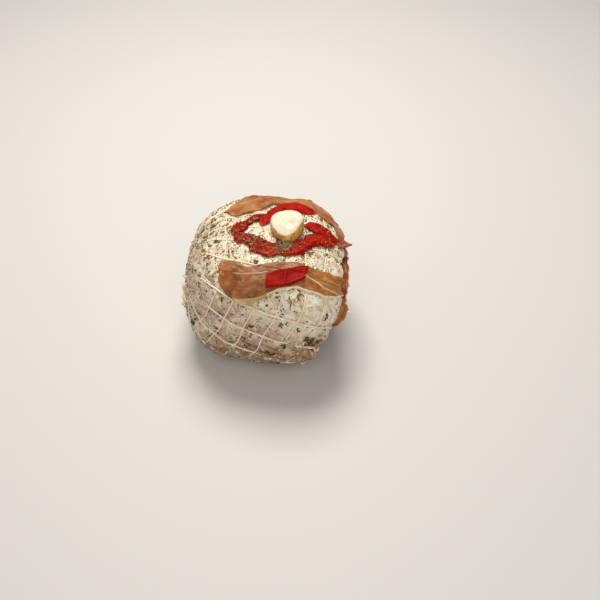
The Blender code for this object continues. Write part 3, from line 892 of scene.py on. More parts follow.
# %% String finish
def string_finish():
    string = Finish("string")
    color = string.between(string.noise(0.006, 3.0), 0.35, 0.7, (255, 246, 226), (246, 228, 192))
    string.set(base_color=color, roughness=0.62)
    string.set(normal=string.bump(string.noise(0.0010, 2.0), 0.0002))
    return string.material


STRING = string_finish()
print("finish:", STRING.name)

# %% String net
STRING_RADIUS = 0.00080
RING_RADIUS = 0.00058
STRING_SIDES = 8
STRING_STEP = 0.0011
STRING_LIFT = 0.85
TWIST_PITCH = 0.0034
PLY_DEPTH = 0.12
STRING_FLOOR = 0.0016
SHORTEST_RUN = 4
FOLD_SHARE = 0.4
RING_LENGTH = 0.44
RING_START_TURN = 270.0
HOOK_ANGLES = np.linspace(0.15, 2.2, 7)
HOOK_LIFT = 0.8


def tube(path, normal, radius):
    """Rings of points round a path: radius times 1 + ply depth times cos 2(angle - twist)."""
    tangent = unit(np.gradient(path, axis=0))
    side = unit(np.cross(tangent, normal))
    up = np.cross(side, tangent)
    length = np.concatenate([[0.0], np.cumsum(np.linalg.norm(np.diff(path, axis=0), axis=1))])
    angle = np.linspace(0.0, 2 * math.pi, STRING_SIDES, endpoint=False)[None, :]
    swell = 1.0 + PLY_DEPTH * np.cos(2.0 * (angle - 2 * math.pi * length[:, None] / TWIST_PITCH))
    beside, above = radius * swell * np.cos(angle), radius * swell * np.sin(angle)
    return path[:, None] + beside[..., None] * side[:, None] + above[..., None] * up[:, None]


def add_tube(shell, path, normal, radius):
    """A tube along a path, with a tip at each end."""
    shell.add_turned(tube(path, normal, radius), path[0], path[-1])


def smooth_path(points, steps):
    """Even steps along a smooth curve through the points: cubic pieces whose ends aim at the neighbours."""
    points = np.array(points, dtype=float)
    padded = np.vstack([2 * points[0] - points[1], points, 2 * points[-1] - points[-2]])
    place = np.linspace(0.0, len(points) - 1.0001, steps)
    index = place.astype(int)
    t = (place - index)[:, None]
    before, start, end, after = (padded[index + k] for k in range(4))
    return 0.5 * (
        2 * start + (end - before) * t + (2 * before - 5 * start + 4 * end - after) * t ** 2
        + (3 * start - before - 3 * end + after) * t ** 3
    )


def string_height(base, radius):
    """Height of a string's middle over the smooth body: pressed into the skin, and sunk in where it is."""
    return swells(base) + folds(base) * FOLD_SHARE - GROOVE_DEPTH - sinking(base) + radius * STRING_LIFT


def lay_line(station, turn, radius):
    """Path and normals of a string pressed into the skin, at lines that wander as the grooves do."""
    base, _ = on_body(station, turn)
    distance = np.maximum(place_of(base)[2], LEAST_RADIUS)
    turn = turn - np.degrees(wander(base, TURN_SEED) / distance)
    station = station - wander(base, STATION_SEED) * ease(station, CLOSED_END, CLOSED_END + 0.003)
    base, normal = on_body(station, turn)
    return base + string_height(base, radius)[..., None] * normal, normal


def string_path(turn, cap):
    """A string from the knot over the closed end, along the roll, and hooked round the rim."""
    cap_normal = outward(cap)
    raised = swells(cap) - GROOVE_DEPTH - sinking(cap) + STRING_LIFT * STRING_RADIUS
    last = rim_edge(turn) - WRAP_THICKNESS / 2
    station = np.linspace(CLOSED_END, last, int((RIM_STATION - CLOSED_END) / STRING_STEP) + 1)
    path, normal = lay_line(station, turn, STRING_RADIUS)
    lift = STRING_RADIUS * HOOK_LIFT
    hook_station, inset = rim_round(turn, HOOK_ANGLES)
    hook = inside(hook_station, turn, inset - lift + sinking(path[-1]))
    hook = hook + (np.sin(HOOK_ANGLES) * lift)[:, None] * AXIS
    turned = np.cos(HOOK_ANGLES)[:, None] * around(turn) + np.sin(HOOK_ANGLES)[:, None] * AXIS
    return (np.vstack([cap + raised[:, None] * cap_normal, path, hook]),
            np.vstack([cap_normal, normal, turned]))


def add_shown(shell, path, normal, radius):
    """Tubes along those stretches of a path that lie clear of the underside."""
    clear = np.concatenate([[False], path[:, 2] > STRING_FLOOR, [False]])
    edges = np.flatnonzero(clear[1:] != clear[:-1])
    for start, end in zip(edges[0::2], edges[1::2]):
        if end - start > SHORTEST_RUN:
            add_tube(shell, path[start:end], normal[start:end], radius)


def make_net():
    """The strings along the roll, the rings round it, and the knot with its loose ends."""
    shell = Shell()
    for turn, cap in zip(STRINGS, CAP_LINES[:, ::-1][:, :-1]):
        add_shown(shell, *string_path(np.array(turn), cap), STRING_RADIUS)
    ring_turn = RING_START_TURN + np.linspace(0.0, 360.0, int(RING_LENGTH / STRING_STEP))
    for station in RINGS:
        add_shown(shell, *lay_line(station, ring_turn, RING_RADIUS), RING_RADIUS)
    add_knot(shell)
    return make_piece("string_net", shell, STRING, "string", "netting")


print("a string is", round(2000 * STRING_RADIUS, 1), "mm thick")

# %% [markdown]
# ## The knot and the loose ends
# At the closed end the strings are tied: a coil stands on the skin, three loops lie round it, and three cut
# ends stick out below. At the open end one thread hangs loose from the edge of the ham. All of them are
# tubes along drawn curves, like the strings.

# %% Knot and net
COIL_END = 6.4 * math.pi
COIL_RADIUS = 0.0021
COIL_WOBBLE = 0.0006
LOOP_END = 2 * math.pi * 0.92
LOOP_HEIGHT, LOOP_RISE = 0.0009, 0.0010
KNOT_LOOPS = ((-0.6, 0.010, 0.0028), (-1.5, 0.012, 0.0030), (1.7, 0.008, 0.0022))  # aim, length, spread
KNOT_ENDS = ((-0.0590, 186.0, 0.3), (-0.0575, 190.0, -0.2), (-0.0560, 215.0, -0.3))  # station, turn, aim
END_LENGTH, END_BEND = 0.0034, 0.0010
LOOSE_TURN = 147.5
LOOSE_INSET = 0.0048
LOOSE_END = ((0.0080, 0.0, 0.0), (0.0105, 0.0, 0.0003), (0.0130, 0.0, 0.0002), (0.0152, 0.0, -0.0010))


def add_knot(shell):
    """Coil, loops and cut ends at the closed end, and one loose end at the open end."""
    out = outward(KNOT)
    pole = KNOT + out * float(swells(KNOT))
    side = unit(np.cross(UP, out))
    up = np.cross(out, side)
    turn = np.linspace(0.0, COIL_END, 120)
    wide = COIL_RADIUS + COIL_WOBBLE * np.sin(turn * 0.7)
    path = pole + (wide * np.cos(turn))[:, None] * side + (wide * np.sin(turn))[:, None] * up
    path = path + (0.0004 + 0.00012 * turn / math.pi + 0.0003 * np.sin(2.3 * turn))[:, None] * out
    add_tube(shell, path, unit(path - pole + 0.5 * out * 0.001), STRING_RADIUS)
    angle = np.linspace(0.0, LOOP_END, 60)
    for aim, length, spread in KNOT_LOOPS:
        forth = math.cos(aim) * side + math.sin(aim) * up
        beside = np.cross(out, forth)
        path = pole + (length * (1 - np.cos(angle)) / 2)[:, None] * forth
        base = onto_body(path + (spread * np.sin(angle))[:, None] * beside)
        path = base + (swells(base) + LOOP_HEIGHT + LOOP_RISE * np.sin(angle / 2))[:, None] * outward(base)
        add_tube(shell, path, outward(base), STRING_RADIUS)
    share = np.linspace(0.0, 1.0, 12)[:, None]
    for station, turn, aim in KNOT_ENDS:
        base, normal = on_body(np.array(station), np.array(turn))
        away = unit(normal + aim * UP + 0.3 * ACROSS)
        path = base + float(swells(base)) * normal + END_LENGTH * share * away + END_BEND * share ** 2 * UP
        add_tube(shell, path, np.broadcast_to(ACROSS, path.shape), STRING_RADIUS)
    rooted = inside(np.array(RIM_STATION), np.array(LOOSE_TURN), LOOSE_INSET)
    path = rooted + smooth_path(LOOSE_END, 24) @ np.array([AXIS, ACROSS, RISE])
    add_tube(shell, path, np.broadcast_to(UP, path.shape), STRING_RADIUS)


string_net = make_net()

# %% [markdown]
# ## What lies on the roast
# The ham and the pepper follow the skin and the strings under them. Their lower side is therefore the higher
# of the pillow and the string, plus a little air. Past the rim a slice turns over it and into the opening,
# so the station of a place beyond the last row is read as a length round the rim.

# %% Laying things on the skin
COVER_AIR = 0.0002
STRING_RIDGE = 0.0010
RING_RIDGE = 0.00065
RIDGE_WIDTH = 0.0013
FULL_HOOK = 2.4


def cover_height(points):
    """Height over the smooth body of something thin laid on it: the higher of pillow and string, plus air."""
    along, ring = line_distance(points)
    ridge = np.maximum(STRING_RIDGE * bell(along, RIDGE_WIDTH), RING_RIDGE * bell(ring, RIDGE_WIDTH))
    return swells(points) + np.maximum(PILLOW_HEIGHT * pillow(along, ring), ridge - sinking(points)) + COVER_AIR


def over_rim(station, turn):
    """Body point and normal at a station, which past the rim's start counts as a length round the rim."""
    half = WRAP_THICKNESS / 2
    last = rim_edge(turn) - half
    angle = np.clip((station - last) / half, 0.0, FULL_HOOK)
    base, normal = on_body(np.minimum(station, last), turn)
    past = inside(last + half * np.sin(angle), turn, half - half * np.cos(angle))
    bent = np.cos(angle)[..., None] * normal + np.sin(angle)[..., None] * AXIS
    beyond = (angle > 0.0)[..., None]
    return np.where(beyond, past, base), np.where(beyond, bent, normal)


def drop(plan):
    """Points of the roast's top under plan positions, by a vertical ray from mid-height."""
    origin = np.concatenate([plan, np.full(plan.shape[:-1] + (1,), BODY_CENTRE[2])], axis=-1)
    return origin + reach(origin, UP)[..., None] * UP


print("a string lifts the ham by", round(1000 * STRING_RIDGE, 2), "mm")

# %% [markdown]
# ## Ham finish
# Sliced cured ham is thin and a little see-through. Long fibres run along it, paler where there is fat, and
# their pale streaks are partly a painted sheen. Fat lies along its rim. The painted lengths along and across
# the slice stretch the noise into fibres, and painted fat and warmth say where a slice is pale or more
# orange. Along the sleeve's frilled edge the painted fat is a painted highlight.

# %% Ham finish
def ham_finish():
    ham = Finish("cured_ham")
    fat, warm, red = ham.painted("fat"), ham.painted("warm"), ham.painted("red")
    grain = ham.along_and_across(0.16)
    streaks = ham.noise(0.0016, 4.0, grain, distortion=0.3)
    bands = ham.noise(0.0055, 3.0, grain, distortion=0.8)
    patches = ham.noise(0.010, 3.0)
    brown = ham.between(patches, 0.35, 0.65, (120, 64, 32), (160, 104, 62))
    amber = ham.between(patches, 0.35, 0.65, (166, 90, 36), (182, 116, 52))
    deep = ham.between(patches, 0.35, 0.65, (116, 34, 26), (160, 68, 46))
    lean = ham.mix(red, ham.mix(warm, brown, amber), deep)
    lean = ham.over(lean, ham.noise(0.0075, 4.0, distortion=0.5), 0.48, 0.64, (196, 146, 98), 0.55)
    # Pale streaks along the fibres: paler fibres, and partly a painted sheen.
    lean = ham.over(lean, streaks, 0.52, 0.74, (220, 164, 112), 0.48)
    lean = ham.over(lean, bands, 0.52, 0.68, (124, 62, 32), 0.50)
    pale = ham.between(bands, 0.35, 0.65, (192, 152, 94), (226, 196, 144))
    # The fat share is fat, and along the sleeve's frilled edge a painted highlight.
    color = ham.mix(ham.ease(fat + (streaks - 0.5) * 0.5, 0.30, 0.62), lean, pale)
    color = ham.over(color, fat + (streaks - 0.5) * 0.1, 0.86, 0.96, (246, 226, 190))
    ham.set(base_color=color, roughness=0.26 + 0.22 * patches, subsurface_weight=0.12)
    ham.feed(ham.shader.inputs["Specular IOR Level"], 0.25)
    ham.set(subsurface_radius=(1.0, 0.4, 0.2), subsurface_scale=0.002)
    ham.set(normal=ham.bump(streaks * 0.6 + bands * 0.3, 0.0004))
    return ham.material


HAM = ham_finish()
print("finish:", HAM.name)

# %% [markdown]
# ## Ham slices
# Each slice lies between two edges, drawn as smooth curves of station and turn. The edges waver, the slice
# rises in soft folds, and its thickness rounds off towards the border like a real cut slice. The front slice
# has a second layer along its upper side and a fat flap along its lower one, and the strings under it show
# through as pale streaks.

# %% Ham slices
SLICE_THICKNESS = 0.0009
SLICE_BORDER = 0.0011
SLICE_RIPPLE = 0.00018
RIPPLE_SIZE = 0.013
RIPPLE_STRETCH = 0.45
LAYER_STEP = 0.0005
WAVER, TURN_WAVER = 0.0003, 0.22
START_BOW = 0.0026
CURL, CURL_SIZE = 0.0006, 0.012
FRONT_GRID, BACK_GRID = (240, 74), (230, 96)
FRONT_SEED, BACK_SEED = 62, 65
# The lines' points are station in millimetres and turn in degrees.
FRONT_UPPER = (
    (-38.4, 135.6), (-30, 135.0), (-23.4, 136.6), (-17.5, 134.4), (-10.4, 131.8), (-2.2, 129.1), (6.7, 126.9),
    (14.2, 126.7), (20.4, 127.2), (27.0, 127.9), (33.2, 127.8), (41.5, 127.4), (55.0, 126.6),
)
FRONT_LOWER = (
    (-41.0, 150.0), (-38.2, 154.6), (-33.8, 157.6), (-27.9, 159.4), (-22.7, 159.8), (-17.5, 158.6),
    (-13.0, 156.2), (-9.0, 153.0), (-4.8, 149.6), (1.3, 145.6), (7.9, 143.5), (14.6, 141.8), (24.8, 141.7),
    (36.2, 142.4), (44.7, 141.5), (55.0, 138.6),
)
FRONT_LAYER = (
    (-45, 145), (-33.3, 143.9), (-27.2, 142.7), (-18.9, 140.9), (-12.4, 138.7), (-8.4, 136.8), (15, 134.4),
    (19.6, 133.8), (24.6, 135.2), (33.8, 137.7), (43.7, 138.7), (56, 139.3),
)
FAT_FLAP = (
    (-45, 162), (-30.2, 159.0), (-22.5, 156.8), (-15.3, 153.8), (-8.9, 150.4), (-4.3, 147.5), (4, 143.2),
    (60, 142.0),
)
BACK_OUTER = (
    (-38.8, 53.0), (-36, 47.5), (-29, 43.0), (-19.2, 40.0), (-10.5, 38.5), (4, 39.0), (18, 40.5),
    (28.6, 46.0), (37.1, 53.5), (46.9, 64.0), (54.0, 76.0),
)
BACK_INNER = (
    (-37.9, 59.0), (-35.6, 67.5), (-31.0, 71.0), (-26.6, 69.4), (-20.4, 68.0), (-13.6, 66.3), (-6, 63.0),
    (4, 63.0), (15, 65.0), (26.3, 68.9), (34.5, 74.5), (43.2, 80.5), (48.5, 89.0), (54.5, 95.0),
)


def read_line(line, station):
    """Turn of a line at stations in metres, evenly between the line's points."""
    line = np.array(line, dtype=float)
    return np.interp(station * 1000.0, line[:, 0], line[:, 1])


def ham_height(points, seed):
    """Height of a slice's underside: cover height plus soft folds that run along the slice."""
    station, turn, radius = place_of(points)
    spread = as_points(RIPPLE_STRETCH * station, np.radians(turn) * radius, 0.0)
    return cover_height(points) + SLICE_RIPPLE * (1.2 + lumps(spread, RIPPLE_SIZE, seed))


def slice_place(upper, lower, shape, seed):
    """Station and turn of a grid between two wavering edges; its start bows out near the upper edge."""
    rows, columns = shape
    top, bottom = (smooth_path(edge, rows)[:, None] for edge in (upper, lower))
    share = np.linspace(0.0, 1.0, columns)[None, :]
    place = top + share[..., None] * (bottom - top)
    station, turn = place[..., 0] * 0.001, place[..., 1]
    waver = layered(as_points(station, 0.03 * share, 0.0), ((1.0, 0.014, seed), (0.3, 0.004, seed + 7)))
    start = np.linspace(1.0, 0.0, rows)[:, None] ** 8
    bow = START_BOW * start * 6.75 * share * (1.0 - share) ** 2
    return station + WAVER * waver - bow, turn + TURN_WAVER * waver * (2.0 * share - 1.0)


def border_distance(base):
    """Distance of each grid point to the nearest border of its sheet, and its length along and across it."""
    rows, columns = base.shape[:2]
    along = np.linalg.norm(np.diff(base, axis=0), axis=-1).sum(0)[None, :]
    across = np.linalg.norm(np.diff(base, axis=1), axis=-1).sum(1)[:, None]
    u, v = np.linspace(0, 1, rows)[:, None], np.linspace(0, 1, columns)[None, :]
    return np.minimum(np.minimum(u, 1 - u) * along, np.minimum(v, 1 - v) * across), u * along, v * across


def lay_sheet(base, normal, height, thickness, rounded):
    """Top and bottom grids of a sheet at a height, its thickness rounded off over a width at the border."""
    border, along, across = border_distance(base)
    full = np.sqrt(1.0 - (1.0 - np.clip(border / rounded, 0.0, 1.0)) ** 2)
    top = base + (height + thickness * (0.35 + 0.65 * full))[..., None] * normal
    bottom = base + (height + thickness * 0.25 * (1.0 - full))[..., None] * normal
    return top, bottom, {"length": along, "width": across}


def settled(base, height):
    """A slice's height, drawn down to the skin at its border with a few curled places."""
    border = border_distance(base)[0]
    low = cover_height(base)
    curl = CURL * np.clip(lumps(base, CURL_SIZE, 77), 0.0, 2.0) * (1.0 - ease(border, 0.0, 0.004))
    return low + (height - low) * ease(border, 0.0, 0.003) + curl


def front_fat(station, turn, base):
    """The greatest of: the fat flap, the layer's edge, the strings below, the lower edge and the border."""
    flap, layer = read_line(FAT_FLAP, station), read_line(FRONT_LAYER, station)
    flap_fat = ease(turn - flap, -0.6, 1.0) * (0.75 + 0.2 * ease(station, -0.01, 0.01))
    hidden = ease(station, -0.009, -0.006) * (1.0 - ease(station, 0.014, 0.017))
    layer_edge = bell(layer - turn - 0.2, 0.45) * (1.0 - hidden) * ease(station, -0.036, -0.028)
    through = 0.36 * bell(np.minimum(*line_distance(base)), 0.0011) * ease(flap - turn, 0.5, 2.0)
    lower_edge = ease(turn - read_line(FRONT_LOWER, station), -1.6, -0.9) * ease(station, -0.010, -0.004)
    border = 0.50 * (1.0 - ease(border_distance(base)[0], 0.0, 0.0014))
    return np.maximum.reduce([flap_fat, layer_edge, through, lower_edge, border])


def make_front_ham():
    """Sheet between two lines, at the cover's height plus ripples, with a step up to its second layer."""
    station, turn = slice_place(FRONT_UPPER, FRONT_LOWER, FRONT_GRID, 61)
    base, normal = over_rim(station, turn)
    upper_layer = ease(read_line(FRONT_LAYER, station) - turn, 0.0, 0.8)
    height = settled(base, ham_height(base, FRONT_SEED)) + LAYER_STEP * upper_layer
    top, bottom, paint = lay_sheet(base, normal, height, SLICE_THICKNESS, SLICE_BORDER)
    warm = np.maximum(ease(station, 0.010, 0.034), 0.7 * (1.0 - ease(station, -0.038, -0.028)))
    paint.update(fat=front_fat(station, turn, base), warm=warm, red=0.12)
    return make_sheet("front_ham", top, bottom, paint, HAM, "cured_ham", "ham_slice_front")


def make_back_ham():
    """Sheet between two lines, at the cover's height plus ripples, with fat along its outer edge."""
    station, turn = slice_place(BACK_OUTER, BACK_INNER, BACK_GRID, 64)
    base, normal = over_rim(station, turn)
    height = settled(base, ham_height(base, BACK_SEED))
    top, bottom, paint = lay_sheet(base, normal, height, SLICE_THICKNESS, SLICE_BORDER)
    share = np.linspace(0.0, 1.0, turn.shape[1])[None, :]
    fat = 0.8 * (1.0 - ease(share, 0.02, 0.08)) + 0.30 * ease(lumps(top, 0.022, 66), 0.2, 1.4)
    paint.update(fat=fat, warm=0.85, red=0.0)
    return make_sheet("back_ham", top, bottom, paint, HAM, "cured_ham", "ham_slice_back")


front_ham = make_front_ham()
back_ham = make_back_ham()

# %% [markdown]
# ## The open end
# Inside the veal lies a sleeve of ham, and in it the meat. At the open end the ham stands out and frills,
# most of all at the top, and the meat bulges in it. Both run through the roast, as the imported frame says:
# past the rim they run straight out along the axis.

# %% Ham sleeve
LINING_GAP = 0.0003
LINING_THICKNESS = 0.0011
FILLING_REACH = 0.0120
FILLING_SHOULDER = 0.0035
LINING_REACH = 0.0092
RIBBON_REACH = 0.0030
RIBBON_FLARE = 0.0020
RIBBON_TURN = 152.0
RIBBON_SPREAD = 8.0
SHOWING_TURN = 103.0
SHOWING_HALF_SPAN = 55.0
SHOWING_EDGE = 9.0
LEAST_SHOWING = 0.08
SLEEVE_COLUMNS = 480
SLEEVE_INSIDE = np.array([CAVITY_STATION + 0.0006, -0.0300, -0.0100, 0.0100, 0.0300, 0.0420])
FRILLS = ((0.00050, 0.013, 81), (0.00035, 0.006, 82))
FRILL_LIMITS = (-0.0007, 0.0012)
FRILL_START = 0.0460
FRILL_ROWS = 22
RAGGED = ((0.0007, 0.010, 83), (0.0004, 0.004, 84))
RAGGED_RADIUS = 0.045
EDGE_ROUND = 0.0006
EDGE_TIP = 0.0004
SLEEVE_FLOOR = 0.0004


def showing(turn):
    """Share of their reach by which the inner layers stand out past the rim: full above, little below."""
    nearness = np.cos(np.radians(turn - SHOWING_TURN)) - math.cos(math.radians(SHOWING_HALF_SPAN))
    return LEAST_SHOWING + (1.0 - LEAST_SHOWING) * (0.5 + 0.5 * np.tanh(SHOWING_EDGE * nearness))


def ribbon(turn):
    """1 where the ham stands out as a ribbon at the front, 0 away from there."""
    return bell(turn_gap(turn, RIBBON_TURN), RIBBON_SPREAD)


def sleeve(station, turn, inset):
    """Point of an inner layer: it follows the skin up to the rim and runs straight out past it."""
    station, turn, inset = np.broadcast_arrays(station, turn, inset)
    past = np.maximum(station - RIM_STATION, 0.0)
    return inside(np.minimum(station, RIM_STATION), turn, inset) + past[..., None] * AXIS


def out_and_back(values):
    """Rows of values along the outer wall, once more at the edge, and back along the inner wall."""
    return np.vstack([values, values[-1:], values[::-1]])


def make_sleeve():
    """An outer and an inner wall, joined at the frilled edge and at the closed end."""
    turn = np.linspace(0.0, 360.0, SLEEVE_COLUMNS, endpoint=False)[None, :]
    reached = (LINING_REACH + layered(around(turn) * RAGGED_RADIUS, RAGGED) - EDGE_ROUND) * showing(turn)
    edge = RIM_STATION + reached + RIBBON_REACH * ribbon(turn) - EDGE_ROUND
    out = np.linspace(0.0, 1.0, FRILL_ROWS)[:, None]
    station = np.vstack([SLEEVE_INSIDE[:, None] + 0.0 * turn, FRILL_START + out * (edge - FRILL_START)])
    wave = np.vstack([np.zeros((len(SLEEVE_INSIDE), 1)), ease(out, 0.45, 1.0)])
    frill = layered(around(turn) * ROLL_RADIUS + station[..., None] * 0.3 * AXIS, FRILLS)
    inset = WRAP_THICKNESS + LINING_GAP - wave * (np.clip(frill, *FRILL_LIMITS) + 0.0004)
    flare = (wave * RIBBON_FLARE * ribbon(turn))[..., None] * around(turn)
    outer = sleeve(station, turn, inset) + flare
    inner = sleeve(station, turn, inset + LINING_THICKNESS) + flare
    middle = (outer[-1] + inner[-1]) / 2 + EDGE_TIP * AXIS
    rows = np.vstack([outer, middle[None], inner[::-1]])
    rows[..., 2] = np.maximum(rows[..., 2], SLEEVE_FLOOR)
    column = np.arange(SLEEVE_COLUMNS)
    beside = (column + 1) % SLEEVE_COLUMNS
    last = (len(rows) - 1) * SLEEVE_COLUMNS
    closing = np.stack([last + column, last + beside, beside, column], axis=-1)
    flat, shape = rows.reshape(-1, 3), rows.shape[:2]
    # The pale line along the frilled edge is a painted highlight, broken up by noise; the flecks are fat.
    broken_highlight = 0.6 + 0.4 * ease(lumps(flat, 0.007, 86), -0.5, 0.8).reshape(shape)
    flecks = 0.30 * ease(lumps(flat, 0.0036, 85), 0.5, 1.5).reshape(shape)
    width = out_and_back(station)
    width[len(station)] += EDGE_TIP
    paint = {
        "length": np.radians(turn) * ROLL_RADIUS,
        "width": width,
        "warm": 0.15 + 0.7 * ribbon(turn),
        "red": np.clip(0.75 - ribbon(turn), 0.0, 1.0),
        "fat": 0.72 * out_and_back(wave) ** 26 * broken_highlight + flecks,
    }
    shell = Shell()
    shell.add(flat, np.vstack([grid(len(rows), SLEEVE_COLUMNS), closing]),
              **{name: np.broadcast_to(values, shape).ravel() for name, values in paint.items()})
    return make_piece("ham_sleeve", shell, HAM, "cured_ham", "ham_lining")


ham_sleeve = make_sleeve()

# %% [markdown]
# ## The meat core
# The filling is red brown minced meat with pale marbling and dark specks. Its mesh is a core inside the
# sleeve that ends in a lumpy dome, and the dome is cut back where the sleeve hardly stands out.

# %% Raw meat finish
def meat_finish():
    meat = Finish("raw_meat")
    fibres = meat.noise(0.0016, 4.0, distortion=0.4)
    mince = meat.noise(0.006, 4.0, distortion=0.7)
    color = meat.between(mince, 0.35, 0.65, (112, 36, 26), (160, 78, 56))
    color = meat.over(color, fibres, 0.56, 0.72, (206, 150, 118), 0.5)
    marbling = meat.specks(0.008, 0.02, 0.10, meat.stretched(1.0, 1.4, 0.8))
    color = meat.mix(marbling * 0.6, color, tone(222, 188, 156))
    color = meat.mix(meat.specks(0.0032, 0.10, 0.18) * 0.7, color, tone(60, 44, 24))
    meat.set(base_color=color, roughness=0.30 + 0.25 * fibres, coat_weight=0.15)
    meat.set(subsurface_weight=0.2, subsurface_radius=(1.0, 0.3, 0.2), subsurface_scale=0.003)
    meat.set(normal=meat.bump(fibres, 0.0012))
    return meat.material


MEAT = meat_finish()
print("finish:", MEAT.name)

# %% Meat core
CORE_COLUMNS = 360
DOME_ROWS = 60
CORE_LUMPS = ((0.0008, 0.014, 91), (0.0004, 0.006, 92), (0.0002, 0.003, 93))
CORE_GAP = 0.0026
CORE_INSIDE = np.append(SLEEVE_INSIDE + 0.0008, [0.048, RIM_STATION])
DOME_REACH = FILLING_REACH - 0.001
DOME_BLUNTNESS = 0.62


def make_core():
    """A core inside the sleeve whose end is a dome: it narrows as cos and rises as sin, with lumps on it."""
    turn = np.linspace(0.0, 360.0, CORE_COLUMNS, endpoint=False)[None, :]
    body = sleeve(CORE_INSIDE[:, None], turn, WRAP_THICKNESS + CORE_GAP)
    share = np.linspace(0.0, math.pi / 2, DOME_ROWS + 2)[1:-1, None]
    evenness = np.sin(share) ** 3
    level = evenness + (1.0 - evenness) * showing(turn)
    rise = FILLING_SHOULDER * ease(share, 0.0, 0.25) + (DOME_REACH - FILLING_SHOULDER) * np.sin(share)
    centre = on_axis(RIM_STATION)
    dome = centre + (body[-1] - centre) * (np.cos(share) ** DOME_BLUNTNESS)[..., None]
    dome = dome + (rise * level)[..., None] * AXIS
    uneven = layered(dome, CORE_LUMPS) * ease(share, 0.05, 0.35) * (0.25 + 0.75 * showing(turn))
    rows = np.vstack([body, dome + uneven[..., None] * AXIS])
    shell = Shell()
    shell.add_turned(rows, on_axis(CORE_INSIDE[0]), centre + DOME_REACH * AXIS)
    return make_piece("meat_core", shell, MEAT, "raw_meat", "meat_filling")


meat_core = make_core()

# %% [markdown]
# ## The ham corner
# One small corner of ham stands out over the rim at the top right. It is a thin sheet that narrows to a
# point, curls up a little and follows the skin where it lies.

# %% Ham corner
CORNER_TURN = 98.0
CORNER_HALF_SPREAD = 5.6
CORNER_STATIONS = (0.0470, 0.0588)
CORNER_THICKNESS = 0.0010
CORNER_BORDER = 0.0008
CORNER_LIES_TO = 0.0475
CORNER_GRID = (60, 34)


def make_corner():
    """Sheet whose width shrinks as 1 - 0.85 t^1.4, lying on the skin and then running straight out."""
    rows, columns = CORNER_GRID
    share = np.linspace(0.0, 1.0, rows)[:, None]
    across = np.linspace(-1.0, 1.0, columns)[None, :]
    station = CORNER_STATIONS[0] + (CORNER_STATIONS[1] - CORNER_STATIONS[0]) * share
    turn = CORNER_TURN - 2.0 * share + CORNER_HALF_SPREAD * (1.0 - 0.85 * share ** 1.4) * across
    lying, normal = on_body(np.minimum(station, CORNER_LIES_TO), turn)
    base = lying + np.maximum(station - CORNER_LIES_TO, 0.0)[..., None] * AXIS
    curl = 0.0006 * np.cos(across * 2.4) * share + 0.0004 * lumps(base, 0.006, 95)
    height = cover_height(lying) + SLICE_THICKNESS + curl
    top, bottom, paint = lay_sheet(base, normal, height, CORNER_THICKNESS, CORNER_BORDER)
    paint.update(fat=0.25 * (np.abs(across) > 0.8), warm=0.1, red=1.0)
    flipped = {name: np.broadcast_to(value, turn.shape)[:, ::-1] for name, value in paint.items()}
    return make_sheet("ham_corner", top[:, ::-1], bottom[:, ::-1], flipped, HAM, "cured_ham", "ham_tip")


ham_corner = make_corner()

# %% [markdown]
# ## Roasted pepper finish
# Roasted and peeled pepper is deep red and wet. Its fibres run along the strip, its blistered places are
# lighter, and herbs and scorched bits make dark spots. A painted highlight turns some strips, most of all
# the top one, a lighter and more orange red. The gloss is kept low, so that the red stays deep.

# %% Pepper finish
def pepper_finish():
    pepper = Finish("roasted_pepper")
    worn, bright = pepper.painted("worn"), pepper.painted("bright")
    grain = pepper.along_and_across(0.14)
    fibres = pepper.noise(0.0011, 4.0, grain, distortion=0.4)
    bands = pepper.noise(0.0034, 3.0, grain, distortion=0.6)
    spots_seen = pepper.noise(0.0030, 4.0)
    dark = pepper.between(bands, 0.36, 0.62, (116, 2, 1), (158, 7, 2))
    light = pepper.between(bands, 0.36, 0.62, (170, 7, 2), (194, 32, 7))
    # Painted highlight: a higher share mixes the deep red towards a lighter, more orange red.
    color = pepper.mix(bright, dark, light)
    color = pepper.over(color, fibres, 0.58, 0.72, (212, 44, 14), 0.45)
    color = pepper.over(color, spots_seen + worn * 0.18, 0.64, 0.76, (206, 108, 74), 0.55)
    color = pepper.over(color, pepper.noise(0.0042, 4.0) + worn * 0.20, 0.70, 0.80, (104, 72, 38), 0.8)
    pepper.set(base_color=color, roughness=0.32 + 0.25 * spots_seen)
    pepper.feed(pepper.shader.inputs["Specular IOR Level"], 0.07)
    pepper.set(normal=pepper.bump(fibres * 0.6 + bands * 0.5, 0.0007))
    return pepper.material


PEPPER = pepper_finish()
print("finish:", PEPPER.name)

# %% [markdown]
# ## Pepper strips
# Each strip of the ring is a flat tube along a curve in plan. Its width swells and shrinks, its edges are
# ragged, and long wrinkles run along its top. Each point is dropped onto the roast on its own, so that a
# wide strip bends with the skin, and one lies over the back slice of ham.

# %% Pepper strips
STRIP_ROWS = 170
STRIP_SIDES = 60
STRIP_EDGE = 0.42
STRIP_BITE = 0.0004
